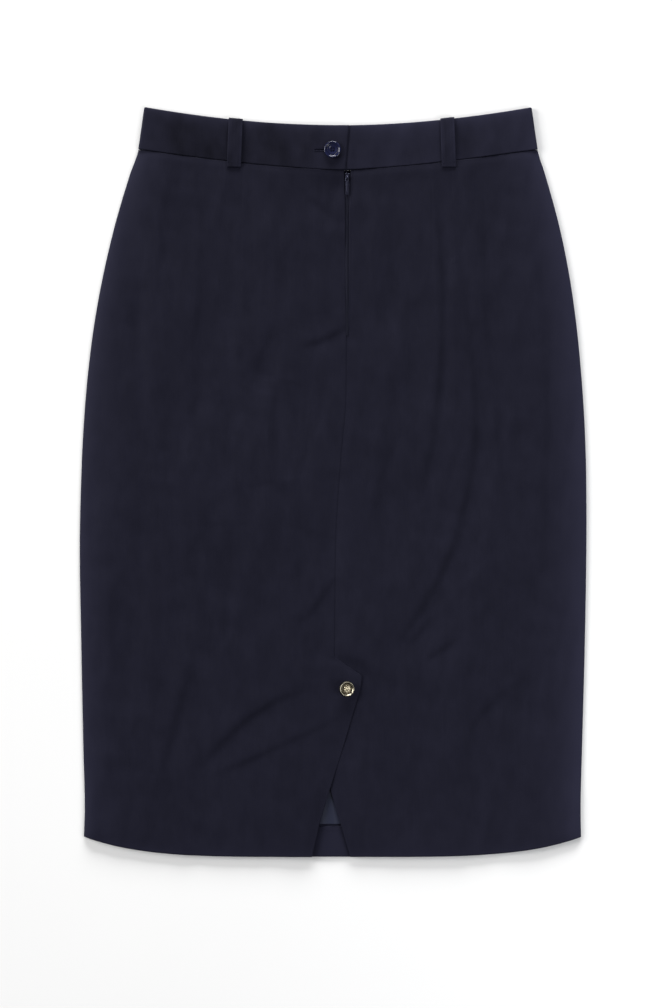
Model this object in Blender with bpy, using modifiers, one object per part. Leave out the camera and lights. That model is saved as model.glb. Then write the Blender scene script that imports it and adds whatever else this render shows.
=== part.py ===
"""A knee-length skirt of navy cloth, laid flat with its back up.

The front panel lies on the surface. The two back panels lie on it, joined at the centre-back
seam, with a zip above and a buttoned vent below. One waistband strip runs from the left back,
round both sides, to its underlap at the right back. Lengths are in millimetres until a mesh is
made: +X is the viewer's right, +Y runs towards the waist, +Z is up, and the origin is under the
middle of the whole skirt.
"""

import math
from collections import namedtuple

import bmesh
import bpy

MM = 0.001
GAP = 0.3
CLOTH = 1.2
HEM_DEPTH = 27.0
SKIRT_LENGTH = 610.0

# Half-widths of the laid skirt from its middle, down each side
Side = namedtuple("Side", "height left right")
SIDES = [
    Side(333, 167.4, 176.0),
    Side(295, 173.2, 181.9),
    Side(273, 180.9, 188.8),
    Side(229, 193.9, 200.9),
    Side(184, 204.5, 210.1),
    Side(140, 212.5, 216.4),
    Side(95, 218.2, 220.8),
    Side(51, 221.8, 223.7),
    Side(7, 223.9, 225.1),
    Side(-60, 225.3, 225.3),
    Side(-149, 223.9, 223.8),
    Side(-238, 222.1, 221.4),
    Side(-288, 220.9, 220.2),
    Side(-334, 222.4, 221.0),
]

# The three lines that sag in the middle: height at the sides, drop at the middle, roundness
Line = namedtuple("Line", "middle half height drop power")
WAIST_TOP = Line(4.8, 172.0, 333.2, 16.3, 1.85)
WAIST_SEAM = Line(4.8, 177.5, 295.6, 18.7, 1.4)
HEM = Line(0.0, 222.0, -315.0, 18.2, 4.5)

# The centre-back seam, and the free edges that leave it at the top of the vent
Point = namedtuple("Point", "height x")
VENT_TOP = -155.7
SEAM = [
    Point(290, 12.9),
    Point(272.4, 12.7),
    Point(129, 12.2),
    Point(71, 11.5),
    Point(30, 8.0),
    Point(-10, 4.9),
    Point(-54, 2.6),
    Point(VENT_TOP, 1.4),
]
OVERLAP_EDGE = [
    Point(VENT_TOP, 1.4),
    Point(-171.9, 25.8),
    Point(-183.6, 24.3),
    Point(-218.9, 13.9),
    Point(-244.9, 6.1),
    Point(-273.7, -3.1),
    Point(-304.4, -12.2),
    Point(-334, -18.9),
]
UNDERLAP_EDGE = [
    Point(VENT_TOP, 1.4),
    Point(-171.9, -25.0),
    Point(-202.8, -19.6),
    Point(-238.4, -11.6),
    Point(-275.8, -1.8),
    Point(-305.7, 7.3),
    Point(-334, 15.6),
]
SEPARATE_FROM = -125.0

# Where the back rises towards the overlap: above the height where the vent opens, and below it
Rise = namedtuple("Rise", "low high")
VENT_OPENS = -255.0
RISE_ABOVE = Rise(-52.0, -27.0)
RISE_BELOW = Rise(-40.0, -14.0)
UNDERLAP_REACH = Rise(2.0, 28.0)

# Half the width of the zip's opening, from the waist seam to the closed seam
ZIP_END = 129.0
ZIP_OPENING = [
    Point(290, 2.9),
    Point(272, 2.7),
    Point(262, 2.1),
    Point(240, 1.9),
    Point(150, 0.8),
    Point(ZIP_END, GAP / 2),
    Point(-160, GAP / 2),
]

# Heights of the back's outer face
BACK_FACE = 4.6
HEM_FACE = 5.3
UNDERLAP_FACE = 4.1
OVERLAP_FACE = 5.8
SIDE_FACE = 2.9
SIDE_ROUND = 9.0
SEAM_DIP = 0.5
SEAM_DIP_WIDTH = 6.0

# The largest folds of the back: the start, middle and end of each, its half-width and its rise
Fold = namedtuple("Fold", "x1 y1 x2 y2 x3 y3 width rise")
FOLDS = [
    # Right back: two long folds from the belt loop, the outer one swinging in towards the vent
    Fold(87, 273, 96, 135, 84, -16, 14, -1.0),
    Fold(104, 180, 108, 110, 106, 40, 13, 0.8),
    Fold(116, 180, 120, 105, 121, 29, 14, -1.2),
    Fold(121, 29, 108, -60, 51, -149, 16, -1.3),
    Fold(134, 200, 142, 60, 134, -60, 18, 0.7),
    Fold(134, 247, 133, 158, 149, 38, 14, -0.7),
    Fold(64, 162, 66, 100, 68, 55, 14, -0.7),
    Fold(172, 255, 184, 165, 190, 86, 15, -0.6),
    Fold(190, 86, 187, 20, 186, -50, 17, -0.8),
    Fold(113, -136, 98, -148, 82, -158, 11, -0.7),
    Fold(175, -172, 135, -203, 117, -238, 14, -0.6),
    # Left back: soft folds under the loop, a puff and a crease at the zip's end
    Fold(-117, 193, -121, 135, -118, 64, 14, -0.6),
    Fold(-52, 140, -68, 113, -72, 82, 15, -1.0),
    Fold(-52, 82, -56, 38, -54, 11, 14, -0.9),
    Fold(-26, 190, -28, 160, -30, 135, 17, 0.7),
    Fold(6, 136, -12, 127, -34, 122, 9, -0.7),
    Fold(2, -83, -16, -109, -25, -123, 11, -0.8),
    Fold(-136, -87, -116, -94, -114, -123, 12, -0.8),
    # Left back: the long drag lines that fan out from the vent's button
    Fold(-20, -178, -63, -201, -110, -247, 15, -1.0),
    Fold(0, -194, -54, -217, -104, -252, 12, 0.7),
    Fold(12, -206, -43, -232, -105, -261, 10, -0.6),
    Fold(-126, -149, -136, -203, -152, -256, 13, -0.9),
    Fold(-190, -83, -196, -105, -199, -132, 12, -0.6),
]
FOLD_STEPS = 12
DEEPEST_FOLD = -1.4
HIGHEST_FOLD = 1.2

# Waistband: its half-widths at the top edge and at the seam, and the end that buttons over
BAND_WALL = 2.0
UNDERLAP_WALL = 1.4
BAND_LEFT_TOP, BAND_LEFT_SEAM = -167.9, -173.2
BAND_RIGHT_TOP, BAND_RIGHT_SEAM = 176.5, 181.9
BAND_END_TOP, BAND_END_SEAM = 14.3, 11.1
BAND_STEP = 1.6
BAND_UNDERLAP_END = -19.0
BAND_RAISE = 1.7
BAND_RAISE_FROM = -48.0
BAND_RAISE_TO = -22.0

# Belt loops: left edge at the band's top, slant of the strip down to its lower end
Loop = namedtuple("Loop", "name x slant")
LOOPS = [Loop("belt_loop_left", -86.3, -1.8), Loop("belt_loop_right", 101.4, 1.4)]
LOOP_WIDTH = 12.5
LOOP_WALL = 1.0
LOOP_FOOT = 279.5
LOOP_BULGE = 0.9

# Zip
ZIP_X = 12.5
TAPE_WIDTH = 24.0
TAPE_WALL = 0.8
COIL_WIDTH = 1.5
COIL_TOP = 3.3
SLIDER_Y = 270.5
SLIDER_WIDTH = 4.4
SLIDER_LENGTH = 8.0
SLIDER_FLOOR = 2.6
PIVOT_Z = 4.9
BRIDGE_WIDTH = 1.0
BRIDGE_LENGTH = 4.0
BRIDGE_ROOF = 0.6
WINDOW_LENGTH = 2.4
WINDOW_HEIGHT = 1.8
TAB_LENGTH = 16.0
TAB_WIDTH = 2.8
TAB_WALL = 0.8
TAB_BAR = 0.8
TAB_EYE_WIDTH = 1.6
TAB_EYE_LENGTH = 2.0

# Buttons
WAIST_BUTTON = (-0.5, 294.8)
WAIST_BUTTON_RADIUS = 7.5
WAIST_BUTTON_HEIGHT = 2.8
THREAD_HOLE_RADIUS = 0.9
THREAD_HOLE_SPREAD = 1.5
VENT_BUTTON = (12.1, -183.3)
VENT_BUTTON_RADIUS = 7.0
VENT_BUTTON_HEIGHT = 3.2
VENT_BUTTON_TILT = math.radians(14)
VENT_SHANK_RADIUS = 1.6
VENT_SHANK_HEIGHT = 2.0

# The stretch of the front's lining that shows in the vent
LINING_HALF_WIDTH = 36.0
LINING_TOP = -236.0
LINING_WALL = 1.0


def clear_scene():
    for thing in list(bpy.data.objects):
        bpy.data.objects.remove(thing, do_unlink=True)


def new_collection(name):
    collection = bpy.data.collections.new(name)
    bpy.context.scene.collection.children.link(collection)
    return collection


clear_scene()
SKIRT = new_collection("skirt")
CUTTERS = new_collection("cutters")


def principled(name, color, roughness, metallic=0.0):
    material = bpy.data.materials.new(name)
    material.use_nodes = True
    shader = material.node_tree.nodes["Principled BSDF"]
    shader.inputs["Base Color"].default_value = (*color, 1.0)
    shader.inputs["Roughness"].default_value = roughness
    shader.inputs["Metallic"].default_value = metallic
    material.diffuse_color = (*color, 1.0)
    return material


NAVY_CLOTH = (0.0144, 0.0144, 0.0252)
LINING_BLUE = (0.030, 0.032, 0.055)
ZIP_NAVY = (0.018, 0.018, 0.030)
ZIP_LACQUER = (0.022, 0.023, 0.038)
BUTTON_NAVY = (0.016, 0.018, 0.040)
PALE_GOLD = (0.78, 0.70, 0.52)


def add_object(name, mesh, material, collection=None):
    thing = bpy.data.objects.new(name, mesh)
    (collection or SKIRT).objects.link(thing)
    mesh.materials.append(material)
    return thing


def smoothstep(low, high, value):
    share = min(1.0, max(0.0, (value - low) / (high - low)))
    return share * share * (3.0 - 2.0 * share)


def mix(start, end, share):
    return start + (end - start) * share


def read(rows, height, column):
    """The value of a table's column at a height, on a smooth curve through its rows."""
    rows = sorted(rows, key=lambda row: -row.height)
    height = min(rows[0].height, max(rows[-1].height, height))
    index = 0
    while index < len(rows) - 2 and rows[index + 1].height > height:
        index += 1
    upper, lower = rows[index], rows[index + 1]
    before = rows[max(0, index - 1)]
    after = rows[min(len(rows) - 1, index + 2)]
    span = upper.height - lower.height
    share = (upper.height - height) / span
    value = [getattr(row, column) for row in (before, upper, lower, after)]
    leave = (value[2] - value[0]) / (before.height - lower.height) * span
    arrive = (value[3] - value[1]) / (upper.height - after.height) * span
    square, cube = share * share, share ** 3
    return (
        (2 * cube - 3 * square + 1) * value[1]
        + (cube - 2 * square + share) * leave
        + (3 * square - 2 * cube) * value[2]
        + (cube - square) * arrive
    )


def straight(rows, height):
    """The x of a table of points at a height, on straight runs between them."""
    for upper, lower in zip(rows, rows[1:]):
        if height >= lower.height:
            share = (upper.height - height) / (upper.height - lower.height)
            return mix(upper.x, lower.x, min(1.0, max(0.0, share)))
    return rows[-1].x


def left_side(height):
    return -read(SIDES, height, "left")


def right_side(height):
    return read(SIDES, height, "right")


def line_height(line, x):
    share = min(1.0, abs((x - line.middle) / line.half))
    return line.height - line.drop * (1.0 - share ** line.power)


def panel_y(x, down):
    """Height on the cloth, down millimetres below the waist seam as measured at the centre."""
    top = line_height(WAIST_SEAM, x) - GAP / 2
    return mix(top, line_height(HEM, x), down / SKIRT_LENGTH)


def left_inner(height):
    if height < VENT_TOP:
        return straight(OVERLAP_EDGE, height)
    return read(SEAM, height, "x") - read(ZIP_OPENING, height, "x")


def right_inner(height):
    if height < VENT_TOP:
        return straight(UNDERLAP_EDGE, height) + GAP / 2
    return read(SEAM, height, "x") + read(ZIP_OPENING, height, "x")


def fold_path(fold):
    """Points along a fold, on the smooth curve through its three: (x, y, share of its length)."""
    points = []
    for step in range(FOLD_STEPS + 1):
        t = step / FOLD_STEPS
        a, b, c = (1 - t) * (1 - 2 * t), 4 * t * (1 - t), t * (2 * t - 1)
        x = a * fold.x1 + b * fold.x2 + c * fold.x3
        y = a * fold.y1 + b * fold.y2 + c * fold.y3
        points.append((x, y, t))
    return points


FOLD_PATHS = [(fold, fold_path(fold)) for fold in FOLDS]


def fold_rise(x, y):
    """How far the folds lift or lower the back at a point."""
    total = 0.0
    for fold, path in FOLD_PATHS:
        nearest = min(path, key=lambda point: (point[0] - x) ** 2 + (point[1] - y) ** 2)
        reach = math.hypot(nearest[0] - x, nearest[1] - y) / fold.width
        if reach < 1.0:
            ends = math.sin(math.pi * min(1.0, max(0.0, nearest[2]))) ** 0.5
            total += fold.rise * ends * (1.0 - reach * reach) ** 2
    return max(DEEPEST_FOLD, min(HIGHEST_FOLD, total))


def side_drop(x, y, face):
    """How far the outer face has rounded down towards the side seam."""
    edge = min(x - left_side(y), right_side(y) - x)
    share = min(1.0, max(0.0, edge) / SIDE_ROUND)
    return (face - SIDE_FACE) * (1.0 - math.sqrt(1.0 - (1.0 - share) ** 2))


def hem_share(down):
    """Zero on the body of the skirt, one over the turned-up hem."""
    return smoothstep(SKIRT_LENGTH - HEM_DEPTH - 30, SKIRT_LENGTH - HEM_DEPTH - 4, down)


def separation(y):
    """One where the vent's two edges lie over each other, zero on the sewn seam."""
    return smoothstep(SEPARATE_FROM, VENT_TOP + 3, y) if y > VENT_TOP + 3 else 1.0


def outer_face(x, y, down):
    in_hem = hem_share(down)
    face = mix(BACK_FACE + fold_rise(x, y), HEM_FACE + 0.4 * max(0.0, fold_rise(x, y)), in_hem)
    face -= SEAM_DIP * (1.0 - smoothstep(0, SEAM_DIP_WIDTH, down))
    low = side_drop(x, y, face)
    return face - low * (1.0 - in_hem)


def left_face(x, y, down):
    face = outer_face(x, y, down)
    rise = RISE_ABOVE if y > VENT_OPENS else RISE_BELOW
    return mix(face, OVERLAP_FACE, separation(y) * smoothstep(rise.low, rise.high, x))


def right_face(x, y, down):
    face = outer_face(x, y, down)
    edge = max(straight(OVERLAP_EDGE, y), 3.0)
    near = 1.0 - smoothstep(edge + UNDERLAP_REACH.low, edge + UNDERLAP_REACH.high, x)
    above_hem = 1.0 - smoothstep(SKIRT_LENGTH - HEM_DEPTH - 30, SKIRT_LENGTH - HEM_DEPTH - 6, down)
    return mix(face, UNDERLAP_FACE, separation(y) * near * above_hem)


EDGE_STEPS = (0.0, 2.0, 5.0, 9.0)
INNER_STEPS = (0.0, 3.0, 9.0)


def spread(count, start_steps, end_steps):
    """Columns as (share across, offset): fixed steps at both edges, an even spread between."""
    columns = [(0.0, step) for step in start_steps]
    inner = [(index + 1) / (count + 1) for index in range(count)]
    columns += [(share, mix(start_steps[-1], -end_steps[-1], share)) for share in inner]
    columns += [(1.0, -step) for step in reversed(end_steps)]
    return columns


def panel_rows():
    """Distances down the panel: even, and closer at the seam, zip end, vent top and hem step."""
    even = [index * 20.5 for index in range(1, 30)]
    special = [0, 2.5, 6, 144, 148, 152, 405, 419, 432, 436, 440, 444.5, 448.7, 456]
    step = SKIRT_LENGTH - HEM_DEPTH
    special += [step - 12, step - 0.6, step + 0.6, SKIRT_LENGTH - 8, SKIRT_LENGTH]
    rows = sorted(special)
    for value in even:
        if min(abs(value - other) for other in special) > 7:
            rows.append(value)
    return sorted(rows)


def cloth_sheet(name, columns, rows, place, wall, upward, material):
    """A grid placed point by point, given its wall; place returns x, y, z and the wall's share."""
    mesh = bpy.data.meshes.new(name)
    grid = bmesh.new()
    across, along = len(columns) - 1, len(rows) - 1
    bmesh.ops.create_grid(grid, x_segments=across, y_segments=along, size=0.5)
    weights = []
    for vertex in grid.verts:
        column = columns[round((vertex.co.x + 0.5) * across)]
        row = rows[round((0.5 - vertex.co.y) * along)]
        x, y, z, share = place(column, row)
        vertex.co = (x * MM, y * MM, z * MM)
        weights.append(share)
    grid.to_mesh(mesh)
    grid.free()
    thing = add_object(name, mesh, material)
    group = thing.vertex_groups.new(name="wall")
    for index, share in enumerate(weights):
        group.add([index], share, "REPLACE")
    thicken = thing.modifiers.new("wall", "SOLIDIFY")
    thicken.thickness = wall * MM
    thicken.offset = upward
    thicken.vertex_group = "wall"
    mesh.shade_smooth()
    mesh.set_sharp_from_angle(angle=math.radians(40))
    return thing


def panel_place(edge_left, edge_right, face):
    def place(column, down):
        share, offset = column
        x = offset
        for _ in range(6):
            y = panel_y(x, down)
            x = mix(edge_left(y), edge_right(y), share) + offset
        step = SKIRT_LENGTH - HEM_DEPTH
        wall = 1.0 if down > step else 0.5
        return x, y, face(x, y, down), wall

    return place


def make_panels(cloth):
    rows = panel_rows()
    doubled = 2 * CLOTH
    cloth_sheet(
        "front_panel",
        spread(19, EDGE_STEPS[:2], EDGE_STEPS[:2]),
        rows,
        panel_place(left_side, right_side, lambda x, y, down: 0.0),
        doubled,
        1.0,
        cloth,
    )
    cloth_sheet(
        "back_panel_left",
        spread(18, EDGE_STEPS, INNER_STEPS),
        rows,
        panel_place(left_side, left_inner, left_face),
        doubled,
        -1.0,
        cloth,
    )
    cloth_sheet(
        "back_panel_right",
        spread(18, INNER_STEPS, EDGE_STEPS),
        rows,
        panel_place(right_inner, right_side, right_face),
        doubled,
        -1.0,
        cloth,
    )


def waistband_stations():
    """Stations along the strip: (share of the back's width, offset, mid height, wall share)."""
    mid_front = BAND_WALL / 2
    mid_back = mid_front + BAND_WALL + GAP
    bend = (mid_back - mid_front) / 2
    turn = bend + BAND_WALL / 2
    stations = []
    for x in (None, 6.0, -2.0, -12.0, BAND_RAISE_TO, -31.0, -39.0, BAND_RAISE_FROM):
        raised = BAND_RAISE if x is None else BAND_RAISE * smoothstep(BAND_RAISE_FROM, BAND_RAISE_TO, x)
        stations.append(("overlap", x, mid_back + raised, 1.0))
    for index in range(1, 9):
        stations.append(("left", 1.0 - index / 8, mid_back, 1.0))
    for index in range(1, 6):
        angle = math.pi / 2 + math.pi * index / 6
        stations.append(("left_turn", bend * math.cos(angle), mid_front + bend + bend * math.sin(angle), 1.0))
    for index in range(17):
        stations.append(("front", index / 16, mid_front, 1.0))
    for index in range(1, 6):
        angle = -math.pi / 2 + math.pi * index / 6
        stations.append(("right_turn", bend * math.cos(angle), mid_front + bend + bend * math.sin(angle), 1.0))
    for index in range(9):
        stations.append(("right", index / 8, mid_back, 1.0))
    underlap_mid = BAND_WALL + GAP + UNDERLAP_WALL / 2
    for x in (None, -4.0, BAND_UNDERLAP_END):
        stations.append(("underlap", x, underlap_mid, UNDERLAP_WALL / BAND_WALL))
    return stations, turn


def make_waistband(cloth):
    stations, turn = waistband_stations()
    fractions = (0.0, 0.04, 0.5, 0.96, 1.0)

    def place(station, fraction):
        where, value, z, wall = station
        low_end = mix(BAND_LEFT_TOP, BAND_LEFT_SEAM, fraction) + turn
        high_end = mix(BAND_RIGHT_TOP, BAND_RIGHT_SEAM, fraction) - turn
        overlap_end = mix(BAND_END_TOP, BAND_END_SEAM, fraction)
        if where == "overlap":
            x = overlap_end if value is None else value
        elif where == "left":
            x = mix(low_end, BAND_RAISE_FROM, value)
        elif where == "left_turn":
            x = low_end + value
        elif where == "front":
            x = mix(low_end, high_end, value)
        elif where == "right_turn":
            x = high_end + value
        elif where == "right":
            x = mix(high_end, overlap_end + BAND_STEP, value)
        else:
            x = overlap_end - BAND_STEP if value is None else value
        top = line_height(WAIST_TOP, x)
        seam = line_height(WAIST_SEAM, x) + GAP / 2
        return x, mix(top, seam, fraction), z, wall

    cloth_sheet("waistband", stations, fractions, place, BAND_WALL, 0.0, cloth)


def loop_profile(x):
    """A loop's middle line in the plane of its length: (y, z) from behind the top edge down."""
    top = line_height(WAIST_TOP, x)
    band_face = 2 * BAND_WALL + GAP
    lift = GAP + LOOP_WALL / 2
    over = top + lift
    points = [(over, band_face - 1.8), (over, band_face - 0.2)]
    points.append((over - 0.3, band_face + lift - 0.2))
    points.append((over - 0.9, band_face + lift + 0.05))
    length = top - LOOP_FOOT
    for index in range(1, 8):
        share = index / 8
        rise = LOOP_BULGE * math.sin(math.pi * share)
        points.append((top - length * share, band_face + lift + 0.35 * share + 0.1 + rise))
    points.append((LOOP_FOOT, band_face + lift + 0.45))
    return points


def make_belt_loops(cloth):
    for loop in LOOPS:
        profile = loop_profile(loop.x)
        top, foot = profile[0][0], profile[-1][0]

        def place(column, point):
            y, z = point
            down = (top - y) / (top - foot)
            x = loop.x + loop.slant * down + column * LOOP_WIDTH / 2
            sag = line_height(WAIST_TOP, x) - line_height(WAIST_TOP, loop.x)
            return x, y + sag * (1.0 - down), z, 1.0

        cloth_sheet(loop.name, (-1.0, -0.5, 0.5, 1.0), profile, place, LOOP_WALL, 0.0, cloth)


def make_lining(lining):
    step = SKIRT_LENGTH - HEM_DEPTH
    foot = panel_y(0.0, step) + 1.2
    height = CLOTH + GAP

    def place(column, fraction):
        x = column * LINING_HALF_WIDTH
        return x, mix(LINING_TOP, foot, fraction), height, 1.0

    cloth_sheet("vent_lining", (-1.0, 0.0, 1.0), (0.0, 0.5, 1.0), place, LINING_WALL, 1.0, lining)


def cube_mesh(name, low, high):
    """A box between two corners, in millimetres."""
    mesh = bpy.data.meshes.new(name)
    box = bmesh.new()
    bmesh.ops.create_cube(box, size=1.0)
    for vertex in box.verts:
        vertex.co = [mix(a, b, c + 0.5) * MM for a, b, c in zip(low, high, vertex.co)]
    box.to_mesh(mesh)
    box.free()
    return mesh


def cut_or_join(thing, other, operation):
    other.hide_render = True
    other.display_type = "WIRE"
    change = thing.modifiers.new(other.name, "BOOLEAN")
    change.operation = operation
    change.solver = "EXACT"
    change.object = other


def make_zip_tape(tape):
    """The tape under the opening, with the closed coil as a narrow ridge along its middle."""
    half = TAPE_WIDTH / 2
    floor = CLOTH + GAP
    face = floor + TAPE_WALL
    coil = COIL_WIDTH / 2
    columns = [
        (-half, face), (-coil - 0.3, face), (-coil, COIL_TOP - 0.3), (-coil + 0.3, COIL_TOP),
        (coil - 0.3, COIL_TOP), (coil, COIL_TOP - 0.3), (coil + 0.3, face), (half, face),
    ]
    mesh = bpy.data.meshes.new("zip_tape")
    strip = bmesh.new()
    section = [(x, z) for x, z in columns] + [(half, floor), (-half, floor)]
    top = SLIDER_Y - SLIDER_LENGTH / 2 - 0.5
    ring = [strip.verts.new(((ZIP_X + x) * MM, top * MM, z * MM)) for x, z in section]
    face_end = strip.faces.new(ring)
    run = bmesh.ops.extrude_face_region(strip, geom=[face_end])
    moved = [piece for piece in run["geom"] if isinstance(piece, bmesh.types.BMVert)]
    bmesh.ops.translate(strip, verts=moved, vec=(0, (ZIP_END + 1 - top) * MM, 0))
    bmesh.ops.recalc_face_normals(strip, faces=strip.faces)
    strip.to_mesh(mesh)
    strip.free()
    add_object("zip_tape", mesh, tape)


def make_zip_slider(lacquer):
    half, length = SLIDER_WIDTH / 2, SLIDER_LENGTH / 2
    roof = PIVOT_Z - WINDOW_HEIGHT / 2
    low = (ZIP_X - half, SLIDER_Y - length, SLIDER_FLOOR)
    high = (ZIP_X + half, SLIDER_Y + length, roof)
    slider = add_object("zip_slider", cube_mesh("zip_slider", low, high), lacquer)
    for vertex in slider.data.vertices:
        if vertex.co.y < SLIDER_Y * MM:
            vertex.co.x = (ZIP_X + (vertex.co.x / MM - ZIP_X) * 0.78) * MM
    soften = slider.modifiers.new("soften", "BEVEL")
    soften.width = 0.5 * MM
    soften.segments = 2
    soften.limit_method = "ANGLE"
    top = PIVOT_Z + WINDOW_HEIGHT / 2 + BRIDGE_ROOF
    bridge_low = (ZIP_X - BRIDGE_WIDTH / 2, SLIDER_Y - BRIDGE_LENGTH / 2, roof - 0.7)
    bridge_high = (ZIP_X + BRIDGE_WIDTH / 2, SLIDER_Y + BRIDGE_LENGTH / 2, top)
    bridge = add_object("bridge", cube_mesh("bridge", bridge_low, bridge_high), lacquer, CUTTERS)
    window_low = (ZIP_X - BRIDGE_WIDTH, SLIDER_Y - WINDOW_LENGTH / 2, roof)
    window_high = (ZIP_X + BRIDGE_WIDTH, SLIDER_Y + WINDOW_LENGTH / 2, top - BRIDGE_ROOF)
    window = add_object("window", cube_mesh("window", window_low, window_high), lacquer, CUTTERS)
    cut_or_join(slider, bridge, "UNION")
    cut_or_join(slider, window, "DIFFERENCE")


def rounded_outline(x, low, high, half, corner):
    """A rectangle round x with round corners, as points anticlockwise."""
    centres = [(half - corner, high - corner), (corner - half, high - corner)]
    centres += [(corner - half, low + corner), (half - corner, low + corner)]
    points = []
    for quarter, (centre_x, centre_y) in enumerate(centres):
        for step in range(4):
            angle = math.pi / 2 * (quarter + step / 3)
            points.append((x + centre_x + corner * math.cos(angle), centre_y + corner * math.sin(angle)))
    return points


def make_pull_tab(lacquer):
    """A slim plate with an eye at its top: the bar above the eye lies under the slider's bridge."""
    curve = bpy.data.curves.new("zip_pull_tab", "CURVE")
    curve.dimensions = "2D"
    curve.fill_mode = "BOTH"
    curve.extrude = TAB_WALL / 2 * MM
    bar = TAB_BAR / 2
    outline = rounded_outline(0.0, bar - TAB_LENGTH, bar, TAB_WIDTH / 2, 0.6)
    eye = rounded_outline(0.0, -bar - TAB_EYE_LENGTH, -bar, TAB_EYE_WIDTH / 2, 0.15)
    for points in (outline, eye):
        spline = curve.splines.new("POLY")
        spline.points.add(len(points) - 1)
        for point, (x, y) in zip(spline.points, points):
            point.co = (x * MM, y * MM, 0.0, 1.0)
        spline.use_cyclic_u = True
    drawn = bpy.data.objects.new("tab_curve", curve)
    CUTTERS.objects.link(drawn)
    mesh = bpy.data.meshes.new_from_object(drawn.evaluated_get(bpy.context.evaluated_depsgraph_get()))
    bpy.data.objects.remove(drawn, do_unlink=True)
    weld = bmesh.new()
    weld.from_mesh(mesh)
    bmesh.ops.remove_doubles(weld, verts=weld.verts, dist=1e-6)
    weld.to_mesh(mesh)
    weld.free()
    mesh.name = "zip_pull_tab"
    mesh.materials.clear()
    tab = add_object("zip_pull_tab", mesh, lacquer)
    tab.location = (ZIP_X * MM, SLIDER_Y * MM, PIVOT_Z * MM)


def turned(name, profile, steps, material):
    """A piece turned about Z from a profile of (radius, height) points, top to bottom."""
    mesh = bpy.data.meshes.new(name)
    points = [(radius * MM, 0.0, height * MM) for radius, height in profile]
    edges = [(index, index + 1) for index in range(len(points) - 1)]
    mesh.from_pydata(points, edges, [])
    thing = add_object(name, mesh, material)
    turn = thing.modifiers.new("turn", "SCREW")
    turn.steps = steps
    turn.render_steps = steps
    turn.use_merge_vertices = True
    turn.merge_threshold = 1e-6
    return thing


def make_waist_button(plastic, face):
    radius, height = WAIST_BUTTON_RADIUS, WAIST_BUTTON_HEIGHT
    profile = [
        (0.0, 0.50 * height), (0.42 * radius, 0.50 * height), (0.50 * radius, 0.62 * height),
        (0.58 * radius, 0.60 * height), (0.68 * radius, 0.70 * height), (0.78 * radius, 0.94 * height),
        (0.88 * radius, height), (0.96 * radius, 0.92 * height), (radius, 0.70 * height),
        (0.97 * radius, 0.40 * height), (0.80 * radius, 0.0), (0.0, 0.0),
    ]
    button = turned("waist_button", profile, 32, plastic)
    button.location = (WAIST_BUTTON[0] * MM, WAIST_BUTTON[1] * MM, (face + GAP) * MM)
    for index in range(4):
        angle = math.pi / 2 * (index + 0.5)
        mesh = bpy.data.meshes.new("thread_hole")
        hole = bmesh.new()
        bmesh.ops.create_cone(
            hole, cap_ends=True, segments=12, radius1=THREAD_HOLE_RADIUS * MM,
            radius2=THREAD_HOLE_RADIUS * MM, depth=4 * height * MM,
        )
        hole.to_mesh(mesh)
        hole.free()
        cutter = add_object(f"thread_hole_{index}", mesh, plastic, CUTTERS)
        cutter.location = (
            (WAIST_BUTTON[0] + THREAD_HOLE_SPREAD * math.cos(angle)) * MM,
            (WAIST_BUTTON[1] + THREAD_HOLE_SPREAD * math.sin(angle)) * MM,
            face * MM,
        )
        cut_or_join(button, cutter, "DIFFERENCE")


def make_vent_button(metal):
    """A metal shank button: a raised plain rim round a low dome, leaning a little on its shank."""
    radius, height = VENT_BUTTON_RADIUS, VENT_BUTTON_HEIGHT
    shank, drop = VENT_SHANK_RADIUS, VENT_SHANK_HEIGHT
    profile = [
        (0.0, 0.92 * height), (0.30 * radius, 0.86 * height), (0.55 * radius, 0.66 * height),
        (0.68 * radius, 0.62 * height), (0.78 * radius, 0.84 * height), (0.86 * radius, 0.92 * height),
        (0.95 * radius, 0.82 * height), (radius, 0.55 * height), (0.93 * radius, 0.25 * height),
        (0.55 * radius, 0.05 * height), (shank, 0.0), (shank, -drop), (0.0, -drop),
    ]
    button = turned("vent_button", profile, 32, metal)
    button.rotation_euler = (0.0, VENT_BUTTON_TILT, 0.0)
    foot = shank * math.sin(VENT_BUTTON_TILT) + drop * math.cos(VENT_BUTTON_TILT)
    lean = drop * math.sin(VENT_BUTTON_TILT)
    button.location = (
        (VENT_BUTTON[0] - lean / 2) * MM,
        VENT_BUTTON[1] * MM,
        (OVERLAP_FACE + GAP + foot) * MM,
    )


def make_skirt():
    cloth = principled("navy_cloth", NAVY_CLOTH, 0.85)
    lining = principled("blue_lining", LINING_BLUE, 0.5)
    tape = principled("zip_tape", ZIP_NAVY, 0.6)
    lacquer = principled("navy_lacquer", ZIP_LACQUER, 0.3)
    plastic = principled("navy_plastic", BUTTON_NAVY, 0.25)
    gold = principled("pale_gold", PALE_GOLD, 0.3, 1.0)
    make_panels(cloth)
    make_waistband(cloth)
    make_belt_loops(cloth)
    make_lining(lining)
    make_zip_tape(tape)
    make_zip_slider(lacquer)
    make_pull_tab(lacquer)
    make_waist_button(plastic, 2 * BAND_WALL + GAP + BAND_RAISE)
    make_vent_button(gold)


make_skirt()
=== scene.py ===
"""The looks of a knee-length skirt of navy cloth, laid flat with its back up.

Each cloth piece is a thin wall on its solid's form, with the creases of cloth that has been worn
and laid down. Lengths are in millimetres until a mesh is made: +X is the viewer's right, +Y runs
towards the waist, and +Z is up from the surface that the skirt lies on.
"""

import math
from collections import namedtuple

import bmesh
import bpy
import numpy as np
from mathutils import Matrix, Vector


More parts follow.
